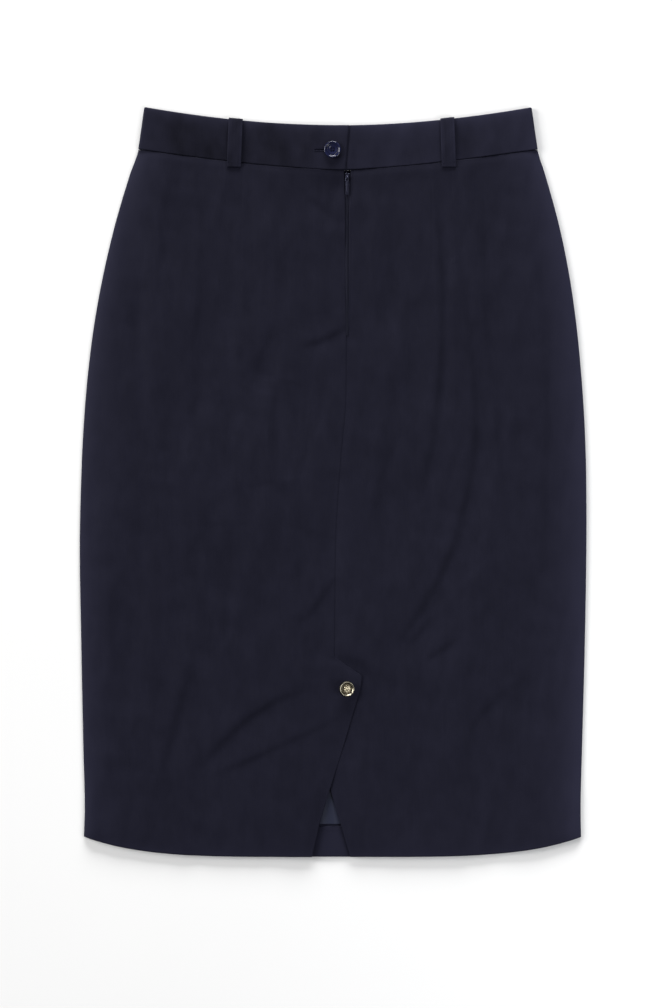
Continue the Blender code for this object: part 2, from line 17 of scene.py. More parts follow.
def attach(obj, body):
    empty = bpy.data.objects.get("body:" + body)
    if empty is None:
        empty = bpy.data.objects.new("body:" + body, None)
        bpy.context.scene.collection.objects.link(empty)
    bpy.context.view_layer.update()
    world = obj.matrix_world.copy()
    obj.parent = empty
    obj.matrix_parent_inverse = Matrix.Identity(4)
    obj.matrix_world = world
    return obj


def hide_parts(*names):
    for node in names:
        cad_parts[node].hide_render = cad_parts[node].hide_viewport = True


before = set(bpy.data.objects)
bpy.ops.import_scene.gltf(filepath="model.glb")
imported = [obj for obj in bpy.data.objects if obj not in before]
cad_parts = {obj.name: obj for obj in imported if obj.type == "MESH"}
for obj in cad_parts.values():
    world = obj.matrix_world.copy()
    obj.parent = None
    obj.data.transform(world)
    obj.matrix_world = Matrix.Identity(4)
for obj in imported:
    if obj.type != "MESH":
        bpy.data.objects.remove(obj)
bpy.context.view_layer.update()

# Front panel
# One piece of navy cloth cut on the fold, which lies on the surface. Its two sides are sewn to the
# back's, and its hem is turned up inside by 27 mm and caught down with small stitches.
MM = 0.001
CLOTH = 0.8
SKIRT_LENGTH = 610.0
HEM_DEPTH = 27.0
HEM_STEP = SKIRT_LENGTH - HEM_DEPTH
THINNEST = 0.04
FRONT_SEAM_TOP = 1.0
FRONT_SEAM_ROLL = 3.0
FRONT_PITCH = 3.6
FRONT_EVEN_WIDTH = 400.0
RIM_STEPS = np.array((0.0, 0.05, 0.18, 0.4, 0.75, 1.2, 2.0, 3.2))
TURN_STEPS = np.array((-1.2, -0.5, -0.25, 0.0, 0.25, 0.5, 1.2))

Side = namedtuple("Side", "height left right")
SIDES = [
    Side(333, 167.4, 176.0),
    Side(295, 173.2, 181.9),
    Side(273, 180.9, 188.8),
    Side(229, 193.9, 200.9),
    Side(184, 204.5, 210.1),
    Side(140, 212.5, 216.4),
    Side(95, 218.2, 220.8),
    Side(51, 221.8, 223.7),
    Side(7, 223.9, 225.1),
    Side(-60, 225.3, 225.3),
    Side(-149, 223.9, 223.8),
    Side(-238, 222.1, 221.4),
    Side(-288, 220.9, 220.2),
    Side(-334, 222.4, 221.0),
]

# The lines that sag in the middle: height at the sides, drop at the middle, roundness
Line = namedtuple("Line", "middle half height drop power")
WAIST_SEAM = Line(4.8, 177.5, 295.6, 18.7, 1.4)
HEM = Line(0.0, 222.0, -315.0, 18.2, 4.5)
SEAM_GAP = 0.3

# Soft troughs pressed up into the underside: start, middle, end, reach to each side and rise
Fold = namedtuple("Fold", "x1 y1 x2 y2 x3 y3 reach rise")
FRONT_FOLDS = [
    Fold(-96, 262, -104, 170, -92, 60, 8, 0.6),
    Fold(70, 250, 82, 150, 78, 20, 9, 0.7),
    Fold(150, 210, 163, 110, 158, -10, 11, 0.5),
    Fold(-160, 120, -170, 20, -163, -90, 12, 0.6),
    Fold(-30, 30, -62, -60, -118, -140, 9, 0.7),
    Fold(52, -40, 20, -130, 28, -240, 10, 0.5),
    Fold(186, -60, 150, -150, 96, -220, 10, 0.6),
    Fold(-60, -190, -96, -236, -150, -262, 8, 0.5),
]
FOLD_POINTS = 40


def mix(start, end, share):
    return start + (end - start) * share


def smoothstep(low, high, value):
    share = np.clip((value - low) / (high - low), 0.0, 1.0)
    return share * share * (3.0 - 2.0 * share)


def rounding(distance, radius):
    """The share of its drop that a rounded edge has lost at a distance from the edge."""
    share = np.clip(distance / radius, 0.0, 1.0)
    return 1.0 - np.sqrt(1.0 - (1.0 - share) ** 2)


def curve_through(rows, height, column):
    """The values of a table's column at many heights, on a smooth curve through its rows."""
    heights = np.array([row.height for row in rows[::-1]], float)
    values = np.array([getattr(row, column) for row in rows[::-1]], float)
    slopes = np.empty(len(rows))
    slopes[1:-1] = (values[2:] - values[:-2]) / (heights[2:] - heights[:-2])
    slopes[0] = (values[1] - values[0]) / (heights[1] - heights[0])
    slopes[-1] = (values[-1] - values[-2]) / (heights[-1] - heights[-2])
    height = np.clip(height, heights[0], heights[-1])
    low = np.clip(np.searchsorted(heights, height) - 1, 0, len(rows) - 2)
    span = heights[low + 1] - heights[low]
    t = (height - heights[low]) / span
    start = (2 * t ** 3 - 3 * t ** 2 + 1) * values[low] + (t ** 3 - 2 * t ** 2 + t) * span * slopes[low]
    end = (3 * t ** 2 - 2 * t ** 3) * values[low + 1] + (t ** 3 - t ** 2) * span * slopes[low + 1]
    return start + end


def left_side(height):
    return -curve_through(SIDES, height, "left")


def right_side(height):
    return curve_through(SIDES, height, "right")


def inside_sides(x, y):
    """How far a point lies inside the nearer of the skirt's two sides."""
    return np.minimum(x - left_side(y), right_side(y) - x)


def line_height(line, x):
    share = np.minimum(1.0, np.abs((x - line.middle) / line.half))
    return line.height - line.drop * (1.0 - share ** line.power)


def row_height(x, down):
    """The height of a point that lies down millimetres below the waist seam at the centre."""
    top = line_height(WAIST_SEAM, x) - SEAM_GAP / 2
    return mix(top, line_height(HEM, x), down / SKIRT_LENGTH)


def filled(places, pitch):
    """Set places in order, with even ones put between those that are further apart than a pitch."""
    places = np.unique(np.round(places, 3))
    parts = [places[:1]]
    for low, high in zip(places, places[1:]):
        count = math.ceil((high - low) / pitch)
        parts.append(np.linspace(low, high, count + 1)[1:])
    return np.concatenate(parts)


def rimmed(low, high, rims, pitch, *others):
    """Filled places from low to high, with the steps of a rounded rim at both ends."""
    return filled(np.concatenate([low + rims, high - rims, *others]), pitch)


def panel_columns(width, pitch, left_steps, right_steps):
    """Columns of a panel as (share of its width, offset): set steps at both edges, even between."""
    inner = np.linspace(0.0, 1.0, int(width / pitch))[1:-1]
    share = np.concatenate([0 * left_steps, inner, 0 * right_steps + 1])
    between = mix(left_steps[-1], -right_steps[-1], inner)
    return share, np.concatenate([left_steps, between, -right_steps[::-1]])


def read_at(place, columns):
    """The values of columns at places counted in rows, which may lie between two rows."""
    return [np.interp(place, np.arange(len(column)), column) for column in columns]


def on_panel(column, down, columns, left_edge, right_edge):
    """The x and y of points of a panel, between its two edges and on its sagging rows."""
    share, offset = read_at(column, columns)
    x = offset
    for _ in range(6):
        y = row_height(x, down)
        x = mix(left_edge(y), right_edge(y), share) + offset
    return x, y


def near_fold(fold, x, y):
    """Distance from a fold's line, right or below it positive, and the share of its length."""
    t = np.linspace(0.0, 1.0, FOLD_POINTS)
    weights = np.stack([(1 - t) * (1 - 2 * t), 4 * t * (1 - t), t * (2 * t - 1)])
    line_x = np.array((fold.x1, fold.x2, fold.x3)) @ weights
    line_y = np.array((fold.y1, fold.y2, fold.y3)) @ weights
    run_x, run_y = np.gradient(line_x), np.gradient(line_y)
    run = np.hypot(run_x, run_y)
    run_x, run_y = run_x / run, run_y / run
    nearest = np.argmin((x[:, None] - line_x) ** 2 + (y[:, None] - line_y) ** 2, axis=1)
    off_x, off_y = x - line_x[nearest], y - line_y[nearest]
    across = run_x[nearest] * off_y - run_y[nearest] * off_x
    along = t[nearest] + (run_x[nearest] * off_x + run_y[nearest] * off_y) / run.sum()
    return across, np.clip(along, 0.0, 1.0)


def add_folds(folds, x, y, profile):
    """The height that a table of folds adds at points; profile is the shape across a fold."""
    total = np.zeros(len(x))
    for fold in folds:
        reach = 6 * fold.reach
        low_x, high_x = min(fold.x1, fold.x2, fold.x3) - reach, max(fold.x1, fold.x2, fold.x3) + reach
        low_y, high_y = min(fold.y1, fold.y3) - reach, max(fold.y1, fold.y3) + reach
        near = np.flatnonzero((x > low_x) & (x < high_x) & (y > low_y) & (y < high_y))
        if len(near) == 0:
            continue
        across, along = near_fold(fold, x[near], y[near])
        strength = np.sin(math.pi * along) ** 0.6
        total[near] += fold.rise * strength * profile(across / fold.reach)
    return total


def swell(across):
    """A soft ridge or trough, the same on both sides."""
    return np.exp(-across ** 2)


def mesh_of(form, name):
    """A form's mesh. The form is freed."""
    mesh = bpy.data.meshes.new(name)
    form.to_mesh(mesh)
    form.free()
    return mesh


def in_scene(name, data):
    """A new object of the scene, made of a mesh, a curve, a light or a camera."""
    made = bpy.data.objects.new(name, data)
    bpy.context.scene.collection.objects.link(made)
    return made


def add_piece(name, mesh, finish, body="skirt"):
    piece = in_scene(name, mesh)
    mesh.materials.clear()
    mesh.materials.append(finish)
    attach(piece, body)
    return piece


def cloth_shell(name, across, along, place, finish, finer=None):
    """A closed wall of cloth: a flat grid, cut finer where asked, given a back and then placed.

    place gives each point its x, y and z, and how much paler the cloth is painted there, from 0 to 1,
    or less than 0 where it is painted darker: painted sheen along edges, painted light that differs
    from side to side, and random tone.
    """
    form = bmesh.new()
    bmesh.ops.create_grid(form, x_segments=len(across) - 1, y_segments=len(along) - 1, size=0.5)
    for vertex in form.verts:
        column = round((vertex.co.x + 0.5) * (len(across) - 1))
        row = round((vertex.co.y + 0.5) * (len(along) - 1))
        vertex.co = (across[column], along[row], 0.0)
    if finer:
        places = np.array([vertex.co for vertex in form.verts])
        near = finer(places[:, 0], places[:, 1])
        form.verts.index_update()
        edges = [edge for edge in form.edges if all(near[vertex.index] for vertex in edge.verts)]
        bmesh.ops.subdivide_edges(form, edges=edges, cuts=2, use_grid_fill=True)
    bmesh.ops.solidify(form, geom=form.faces[:], thickness=1.0)
    mesh = mesh_of(form, name)
    flat = np.empty(3 * len(mesh.vertices))
    mesh.vertices.foreach_get("co", flat)
    flat = flat.reshape(-1, 3)
    outer = flat[:, 2] > -0.5
    *placed, painted_light_and_tone = place(flat[:, 0], flat[:, 1], outer)
    mesh.vertices.foreach_set("co", (np.stack(placed, axis=1) * MM).ravel())
    mesh.attributes.new("painted_light_and_tone", "FLOAT", "POINT").data.foreach_set("value", painted_light_and_tone)
    mesh.shade_smooth()
    return add_piece(name, mesh, finish)


class Wire:
    """A socket of a material's nodes. Arithmetic on wires adds the Math nodes that work it out."""

    def __init__(self, tree, socket=None):
        self.tree = tree
        self.socket = socket

    def node(self, kind, sockets, output=0, stops=(), **settings):
        """A new node's output: its settings are made first, then its sockets' values and links."""
        made = self.tree.nodes.new(kind)
        for name, value in settings.items():
            setattr(made, name, value)
        for index, (position, colour) in enumerate(stops):
            if index > 1:
                made.color_ramp.elements.new(position)
            made.color_ramp.elements[index].position = position
            made.color_ramp.elements[index].color = colour
        for name, value in sockets.items():
            if isinstance(value, Wire):
                self.tree.links.new(value.socket, made.inputs[name])
            else:
                made.inputs[name].default_value = value
        return Wire(self.tree, made.outputs[output])

    def maths(self, operation, *values):
        return self.node("ShaderNodeMath", dict(enumerate(values)), operation=operation)

    def __add__(self, other):
        return self.maths("ADD", self, other)

    __radd__ = __add__

    def __mul__(self, other):
        return self.maths("MULTIPLY", self, other)

    __rmul__ = __mul__

    def __sub__(self, other):
        return self.maths("SUBTRACT", self, other)

    def __rsub__(self, other):
        return self.maths("SUBTRACT", other, self)

    def sine(self):
        return self.maths("SINE", self)

    def noise(self, scale, detail=2.0):
        """Noise between 0 and 1 at this wire's places, a scale for each axis in changes per metre."""
        stretched = self.node("ShaderNodeMapping", {"Vector": self, "Scale": scale})
        return self.node("ShaderNodeTexNoise", {"Vector": stretched, "Scale": 1.0, "Detail": detail})

    def colours(self, dark, light):
        """A colour between two, by this wire as a share from 0 to 1."""
        sockets = {"Factor": self, 6: (*dark, 1.0), 7: (*light, 1.0)}
        return self.node("ShaderNodeMix", sockets, output=2, data_type="RGBA")

    def blended(self, colour, share):
        """This wire's colour, changed towards another one by a share, or away from it below zero."""
        sockets = {"Factor": share, 6: self, 7: (*colour, 1.0)}
        return self.node("ShaderNodeMix", sockets, output=2, data_type="RGBA", clamp_factor=False)

    def bumps(self, shader, strength, distance):
        """This wire as the fine relief of a surface, at most a distance in millimetres high."""
        sockets = {"Strength": strength, "Distance": distance * MM, "Height": self}
        self.node("ShaderNodeBump", sockets, output="Normal").into(shader, "Normal")

    def into(self, shader, name):
        self.tree.links.new(self.socket, shader.inputs[name])


def new_finish(name, roughness, gloss=0.5, metallic=0.0):
    """A material, a wire with its piece's own coordinates, and its shader with its constants set."""
    material = bpy.data.materials.new(name)
    material.use_nodes = True
    shader = material.node_tree.nodes["Principled BSDF"]
    shader.inputs["Roughness"].default_value = roughness
    shader.inputs["Specular IOR Level"].default_value = gloss
    shader.inputs["Metallic"].default_value = metallic
    place = Wire(material.node_tree).node("ShaderNodeTexCoord", {}, output="Object")
    return material, place, shader


def woven_finish(name, dark, light, thread):
    """Woven cloth: threads along X and Y, slubs that run with the warp, and slow changes of tone."""
    material, place, shader = new_finish(name, 0.7, 0.05)
    painted_light_and_tone = place.node("ShaderNodeAttribute", {}, output="Fac", attribute_name="painted_light_and_tone")
    turn = 2 * math.pi / (thread * MM)
    axes = [place.node("ShaderNodeSeparateXYZ", {"Vector": place}, output=axis) for axis in "XY"]
    weave = (axes[0] * turn).sine() * (axes[1] * turn).sine()
    slub = place.noise((1300.0, 42.0, 300.0))
    nap = place.noise((95.0, 55.0, 95.0), 3.0)
    tone = place.noise((13.0, 8.0, 13.0))
    share = slub * 0.5 + nap * 1.1 + tone * 0.6 + weave * 0.1 - 0.6
    # Painted light: the point attribute paints the cloth paler, or darker below zero, for sheen along
    # its edges and light that differs from side to side, mixed with random tone.
    paler = [PAINTED_PALE_TONE * channel for channel in light]
    share.colours(dark, light).blended(paler, painted_light_and_tone).into(shader, "Base Color")
    (weave * 0.5 + slub).bumps(shader, 0.3, 0.1)
    shader.inputs["Sheen Weight"].default_value = 0.05
    shader.inputs["Sheen Roughness"].default_value = 0.3
    shader.inputs["Sheen Tint"].default_value = (0.75, 0.78, 1.0, 1.0)
    return material


NAVY_DARK = (0.0062, 0.0062, 0.0125)
NAVY_LIGHT = (0.0100, 0.0100, 0.0190)
NAVY_THREAD = 0.55
# Painted sheen: the cloth is painted towards a paler tone near its side seams, fading over a reach. The
# front's upper face, the cloth's wrong side, is painted paler too.
PAINTED_PALE_TONE = 1.9
PAINTED_SHEEN_REACH = 14.0
PAINTED_SHEEN_FRONT = 0.8
PALER_INSIDE = 0.33
navy_cloth = woven_finish("navy_cloth", NAVY_DARK, NAVY_LIGHT, NAVY_THREAD)

front_columns = panel_columns(FRONT_EVEN_WIDTH, FRONT_PITCH, RIM_STEPS, RIM_STEPS)
front_rows = rimmed(0.0, SKIRT_LENGTH, RIM_STEPS, FRONT_PITCH, HEM_STEP + TURN_STEPS)


def hemmed_wall(down):
    """The cloth's thickness down a panel, double in the turned-up hem."""
    return CLOTH + CLOTH * smoothstep(HEM_STEP - 0.3, HEM_STEP + 0.1, down)


def place_front(column, climb, outer):
    down = -climb
    x, y = on_panel(column, down, front_columns, left_side, right_side)
    side = inside_sides(x, y)
    seam = rounding(side, FRONT_SEAM_ROLL)
    floor = add_folds(FRONT_FOLDS, x, y, swell)
    top = mix(floor + hemmed_wall(down), FRONT_SEAM_TOP, seam)
    floor = mix(floor, FRONT_SEAM_TOP - THINNEST, seam)
    middle = (floor + top) / 2
    edge = np.maximum(rounding(down, CLOTH / 2), rounding(SKIRT_LENGTH - down, CLOTH))
    low, high = mix(floor, middle - THINNEST / 2, edge), mix(top, middle + THINNEST / 2, edge)
    # Painted sheen near the side seams; the upper face is painted paler.
    painted_light_and_tone = np.maximum(PAINTED_SHEEN_FRONT * np.exp(-side / PAINTED_SHEEN_REACH), np.where(outer, PALER_INSIDE, 0.0))
    return x, y, np.where(outer, high, low), painted_light_and_tone


front_panel = cloth_shell(
    "front_panel_cloth", np.arange(len(front_columns[0])), -front_rows[::-1], place_front, navy_cloth
)
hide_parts("front_panel")

# Back panels
# Two pieces of the same cloth, joined by the centre-back seam, with the zip set in above and an open
# vent below. Each has two darts under its belt loop. The left one laps over the right at the vent.
BACK_PITCH = 2.2
BACK_EVEN_WIDTH = 196.0
BACK_FACE = 4.6
UNDERLAP_FACE = 4.2
UNDERLAP_REACH = (2.0, 34.0)
UNDERLAP_ABOVE = (-316.0, -290.0)
OVERLAP_FACE = 5.15
OVERLAP_CREASED = 0.5
OVERLAP_REACH = (-90.0, -20.0)
OVERLAP_REACH_LOW = (-60.0, -10.0)
OVERLAP_LOW = (-245.0, -265.0)
BACK_SEAM_TOP = 1.15
BACK_SEAM_TAPER = 3.5
SIDE_ROLL = 27.0
HEM_SIDE_ROLL = 8.0
HEM_ROLL = 16.0
HEM_ROLL_DROP = 0.9
SEAM_DIP = 0.4
SEAM_DIP_WIDTH = 6.0
SEWN_DIP = 0.35
SEWN_DIP_WIDTH = {"left": 1.5, "right": 10.0}
# Painted sheen on the back panels: at the side that rolls under, stronger on the right, and along the
# hem's rolled edge.
PAINTED_SHEEN_SIDE = {"left": 0.55, "right": 1.1}
PAINTED_SHEEN_HEM, PAINTED_SHEEN_HEM_REACH = 0.5, 5.0
ZIP_FOLD_RADIUS = 0.9
ZIP_FOLD_DROP = 0.85
FLAP_TAPER = 12.0
FLAP_THINNED, FLAP_EDGE_THINNED = 0.5, 0.4
FLAP_EDGE = 0.6

Point = namedtuple("Point", "height x")
VENT_TOP = -155.7
ZIP_END = 129.0
SEAM = [
    Point(290, 12.9),
    Point(272.4, 12.7),
    Point(129, 12.2),
    Point(71, 11.5),
    Point(30, 8.0),
    Point(-10, 4.9),
    Point(-54, 2.6),
    Point(VENT_TOP, 1.4),
]
OVERLAP_EDGE = [
    Point(VENT_TOP, 1.4),
    Point(-171.9, 25.8),
    Point(-183.6, 24.3),
    Point(-218.9, 13.9),
    Point(-244.9, 6.1),
    Point(-273.7, -3.1),
    Point(-304.4, -12.2),
    Point(-334, -18.9),
]
UNDERLAP_EDGE = [
    Point(VENT_TOP, 1.4),
    Point(-171.9, -25.0),
    Point(-202.8, -19.6),
    Point(-238.4, -11.6),
    Point(-275.8, -1.8),
    Point(-305.7, 7.3),
    Point(-334, 15.6),
]

# Half the width of the zip's opening, from the waist seam to the closed seam
ZIP_OPENING = [
    Point(290, 2.9),
    Point(272, 2.7),
    Point(262, 2.1),
    Point(240, 1.6),
    Point(175, 1.2),
    Point(150, 0.6),
    Point(ZIP_END, 0.05),
    Point(-160, 0.05),
]

# Creases: the cloth swells towards the line and falls steeply to its right or below it
CREASES = [
    # Right back: two long folds from the darts, the outer one swinging in towards the vent
    Fold(88, 286, 96, 120, 76, -20, 4.5, 1.20),
    Fold(106, 250, 113, 160, 119, 100, 4.0, 0.36),
    Fold(112, 200, 126, 55, 114, -30, 5.5, 1.35),
    Fold(120, 30, 106, -60, 52, -149, 6.0, 0.95),
    Fold(134, 258, 135, 158, 149, 38, 5.0, 0.52),
    Fold(64, 162, 66, 100, 69, 40, 5.0, 0.42),
    Fold(173, 258, 185, 165, 190, 86, 7.0, 0.60),
    Fold(190, 118, 188, 20, 182, -92, 8.0, 1.20),
    Fold(113, -136, 98, -148, 82, -158, 4.0, 0.40),
    Fold(88, -118, 79, -131, 68, -145, 4.0, 0.40),
    Fold(175, -172, 135, -203, 117, -238, 6.0, 0.42),
    # Left back: soft folds under the loop, and creases at the zip's end
    Fold(-146, 269, -152, 225, -158, 150, 6.0, 0.50),
    Fold(-170, 190, -176, 150, -178, 100, 6.0, 0.42),
    Fold(-115, 225, -121, 135, -122, 60, 5.0, 0.62),
    Fold(-50, 150, -64, 112, -72, 80, 8.0, 0.85),
    Fold(-50, 92, -55, 45, -51, 0, 7.5, 1.70),
    Fold(14, 139, -8, 127, -30, 121, 4.5, 0.65),
    Fold(6, 229, -7, 242, -22, 254, 5.0, 0.60),
    Fold(-17, 215, -5, 175, -1, 150, 6.0, 0.45),
    Fold(2, -83, -14, -108, -28, -126, 5.0, 0.66),
    Fold(-25, -43, -29, -65, -34, -87, 6.0, 0.42),
    Fold(-96, -3, -99, -13, -101, -24, 5.0, 0.26),
    Fold(-109, -56, -111, -78, -109, -98, 5.0, 0.30),
    Fold(-52, -37, -105, -37, -156, -37, 1.6, 0.07),
    Fold(-190, -83, -196, -105, -199, -132, 5.0, 0.30),
    # Left back: the long drag lines that fan out from the vent's button
    Fold(-12, -182, -68, -205, -118, -254, 7.0, 1.05),
    Fold(14, -205, -36, -229, -106, -261, 4.0, 0.48),
    Fold(-123, -145, -137, -203, -154, -262, 5.0, 0.66),
    Fold(-156, -262, -159, -290, -158, -318, 5.0, 0.36),
]

# Soft ridges and troughs, the same on both sides
SWELLS = [
    Fold(102, 250, 107, 60, 88, -45, 5.0, 0.45),
    Fold(162, 180, 163, 90, 158, 5, 14.0, 0.60),
    Fold(42, 125, 43, 70, 42, 10, 10.0, 0.50),
    Fold(146, -62, 112, -97, 66, -142, 4.0, 0.26),
    Fold(150, -95, 118, -122, 84, -148, 5.0, 0.30),
    Fold(-28, 195, -30, 162, -31, 136, 10.0, 0.65),
    Fold(-138, -84, -116, -92, -114, -124, 5.0, -0.34),
    Fold(-134, -93, -136, -102, -134, -112, 8.0, 0.45),
    Fold(-198, -43, -196, -60, -194, -78, 9.0, -0.40),
    Fold(-204, -84, -209, -108, -212, -134, 8.0, 0.40),
]

# Soft uneven ripples of worn cloth, each a layer of patches: their size, slant and height
Ripple = namedtuple("Ripple", "across along slant height seed")
RIPPLES = [
    Ripple(5.5, 17, 2, 0.12, 1),
    Ripple(8, 40, -4, 0.26, 2),
    Ripple(13, 78, 5, 0.45, 3),
    Ripple(20, 115, -6, 0.66, 4),
    Ripple(34, 140, 9, 0.80, 5),
    Ripple(15, 26, 52, 0.24, 6),
    Ripple(46, 60, -42, 0.50, 7),
]
LATTICE = 180

# Darts: a sewn line from the waist seam to its tip
Dart = namedtuple("Dart", "x_top y_top x_tip y_tip towards_centre")
DARTS = [
    Dart(87.2, 281, 88.6, 172, -1),
    Dart(105.0, 283, 107.6, 158, -1),
    Dart(-80.2, 281, -82.4, 172, 1),
    Dart(-97.2, 283, -100.6, 158, 1),
]
DART_GROOVE = 0.07
DART_GROOVE_WIDTH = 0.9
DART_INTAKE = 8.0
DART_PRESSED = 0.05
DART_FINER = 3.2
HIGHEST_CREASE = 1.7
FLATTER_AT_SEAM = 0.35
FLAT_BELOW_SEAM = 16.0
FLATTER_AT_HEM = 0.65
VENT_SWELL = 0.25
WAIST_PUCKER, WAIST_PUCKER_REACH = 0.03, 5.0
SEAM_PUCKER, SEAM_PUCKER_REACH = 0.025, 4.0
TOPSTITCH_FROM_EDGE = 2.4
TOPSTITCH_DIP, TOPSTITCH_DIP_WIDTH = 0.14, 0.45
BAND_RAISE = 1.7
BAND_RAISE_FROM, BAND_RAISE_TO = -76.0, -14.0
RAISED_REACH = 9.0
TOP_EDGE_DIP = 0.42
TOP_EDGE_REACH = 2.2


def along_points(points, height):
    """The x of a table of points at many heights, on straight runs between them."""
    rows = points[::-1]
    return np.interp(height, [row.height for row in rows], [row.x for row in rows])


def left_inner(height):
    closed = curve_through(SEAM, height, "x") - curve_through(ZIP_OPENING, height, "x")
    return np.where(height < VENT_TOP, along_points(OVERLAP_EDGE, height), closed)


def right_inner(height):
    closed = curve_through(SEAM, height, "x") + curve_through(ZIP_OPENING, height, "x")
    return np.where(height < VENT_TOP, along_points(UNDERLAP_EDGE, height), closed)


def fall(across):
    """A crease that rises slowly, drops through its line and comes back slowly."""
    return -across * np.exp(1.0 - np.abs(across))


def near_dart(dart, x, y):
    """Distance to a dart's line, with the centre-back's side positive, and the share of its length."""
    share = (dart.y_top - y) / (dart.y_top - dart.y_tip)
    return dart.towards_centre * (x - mix(dart.x_top, dart.x_tip, share)), share


def dart_lift(x, y):
    total = np.zeros(len(x))
    for dart in DARTS:
        across, share = near_dart(dart, x, y)
        left = np.clip(1.0 - share, 0.0, 1.0)
        groove = np.exp(-(across / DART_GROOVE_WIDTH) ** 2) * left ** 0.4
        # The cloth taken in lies pressed towards the centre back, as far as it reaches here
        beyond = smoothstep(0.6, 1.0, across / (DART_INTAKE * left + 0.1))
        pressed = smoothstep(0.0, 1.2, across) * (1.0 - beyond)
        total += DART_PRESSED * pressed * left ** 0.5 - DART_GROOVE * groove
    return total


def eased(share):
    return share ** 3 * (share * (6 * share - 15) + 10)


def ripples(x, y):
    """The sum of the layers: each eases between seeded heights on a slanted, wandering lattice."""
    total = np.zeros(len(x))
    for ripple in RIPPLES:
        heights = np.random.default_rng(ripple.seed).uniform(-1.0, 1.0, (LATTICE, LATTICE))
        slant = math.radians(ripple.slant)
        run = (x * math.cos(slant) + y * math.sin(slant)) / ripple.across
        side = (y * math.cos(slant) - x * math.sin(slant)) / ripple.along
        column = run + 0.5 * np.sin(1.3 * side + ripple.seed) + LATTICE / 2
        row = side + 0.4 * np.sin(0.9 * run + 2 * ripple.seed) + LATTICE / 2
        left, low = np.floor(column).astype(int), np.floor(row).astype(int)
        u, v = eased(column - left), eased(row - low)
        lower = mix(heights[left, low], heights[left + 1, low], u)
        upper = mix(heights[left, low + 1], heights[left + 1, low + 1], u)
        total += ripple.height * mix(lower, upper, v)
    return total


def seam_pucker(run, distance, height, reach):
    """Small uneven ripples along a sewn line, gone at their reach from it."""
    ripple = np.sin(run / 1.55) + 0.7 * np.sin(run / 2.3 + 1.7) + 0.5 * np.sin(run / 3.9 + 0.6)
    return height * ripple * np.exp(-np.maximum(distance, 0.0) / reach)


def crease_lift(x, y):
    total = add_folds(CREASES, x, y, fall) + add_folds(SWELLS, x, y, swell) + ripples(x, y)
    return HIGHEST_CREASE * np.tanh(total / HIGHEST_CREASE)


def outer_face(x, y, down):
    """The height of the back's face away from its edges."""
    held = mix(FLATTER_AT_SEAM, 1.0, smoothstep(0, FLAT_BELOW_SEAM, down))
    held = held * mix(1.0, FLATTER_AT_HEM, smoothstep(HEM_STEP - 50, HEM_STEP, down))
    face = BACK_FACE + held * crease_lift(x, y) + dart_lift(x, y)
    face -= HEM_ROLL_DROP * rounding(SKIRT_LENGTH - down, HEM_ROLL)
    face -= SEAM_DIP * (1.0 - smoothstep(0, SEAM_DIP_WIDTH, down))
    face += seam_pucker(x, down - 2.0, WAIST_PUCKER, WAIST_PUCKER_REACH)
    seam = np.abs(x - curve_through(SEAM, y, "x"))
    puckered = seam_pucker(y, seam - 1.0, SEAM_PUCKER, SEAM_PUCKER_REACH)
    return face + np.where(y > VENT_TOP, puckered, 0.0)


def parted(y, beyond):
    """How far the vent's edges are parted, from 0 on the seam to 1, slower beyond the corner."""
    return smoothstep(VENT_TOP + 3, VENT_TOP - 9 - 3.0 * beyond, y)


def vent_swell(y, apart):
    """The rise of the cloth above the vent, gone where its edges are apart."""
    return VENT_SWELL * smoothstep(VENT_TOP + 70, VENT_TOP + 10, y) * (1.0 - apart)


def left_face(x, y, down):
    reach, reach_low = smoothstep(*OVERLAP_REACH, x), smoothstep(*OVERLAP_REACH_LOW, x)
    near = mix(reach, reach_low, smoothstep(*OVERLAP_LOW, y))
    apart = parted(y, 0.0)
    lapped = OVERLAP_FACE + OVERLAP_CREASED * crease_lift(x, y)
    lapped -= HEM_ROLL_DROP * rounding(SKIRT_LENGTH - down, HEM_ROLL)
    face = mix(outer_face(x, y, down) + vent_swell(y, apart) * near, lapped, apart * near)
    # Its top edge is sewn to the waistband, so it rises with the band's overlap
    raised = smoothstep(BAND_RAISE_FROM, BAND_RAISE_TO, x) * np.exp(-down / RAISED_REACH)
    return face + BAND_RAISE * raised


def right_face(x, y, down):
    top, corner = OVERLAP_EDGE[:2]
    edge = np.maximum(along_points(OVERLAP_EDGE, y), 3.0)
    near = 1.0 - smoothstep(edge + UNDERLAP_REACH[0], edge + UNDERLAP_REACH[1], x)
    apart = parted(y, np.maximum(0.0, x - corner.x))
    sunk = apart * near * smoothstep(*UNDERLAP_ABOVE, y)
    face = mix(outer_face(x, y, down) + vent_swell(y, apart) * near, UNDERLAP_FACE, sunk)
    # The vent's slanted top edge is pulled down on this panel, most at its corner
    slant = (top.height - corner.height) / (corner.x - top.x)
    above = (y - top.height + slant * (x - top.x)) / math.hypot(1.0, slant)
    pulled = np.exp(-np.maximum(above, 0.0) / TOP_EDGE_REACH) * smoothstep(-30, -2, above)
    pulled *= smoothstep(-2, 6, x) * (1.0 - smoothstep(corner.x, corner.x + 4, x))
    stitched = np.exp(-((x - right_inner(y) - TOPSTITCH_FROM_EDGE) / TOPSTITCH_DIP_WIDTH) ** 2)
    stitched *= smoothstep(ZIP_END, ZIP_END + 4, y)
    return face - TOP_EDGE_DIP * pulled - TOPSTITCH_DIP * stitched


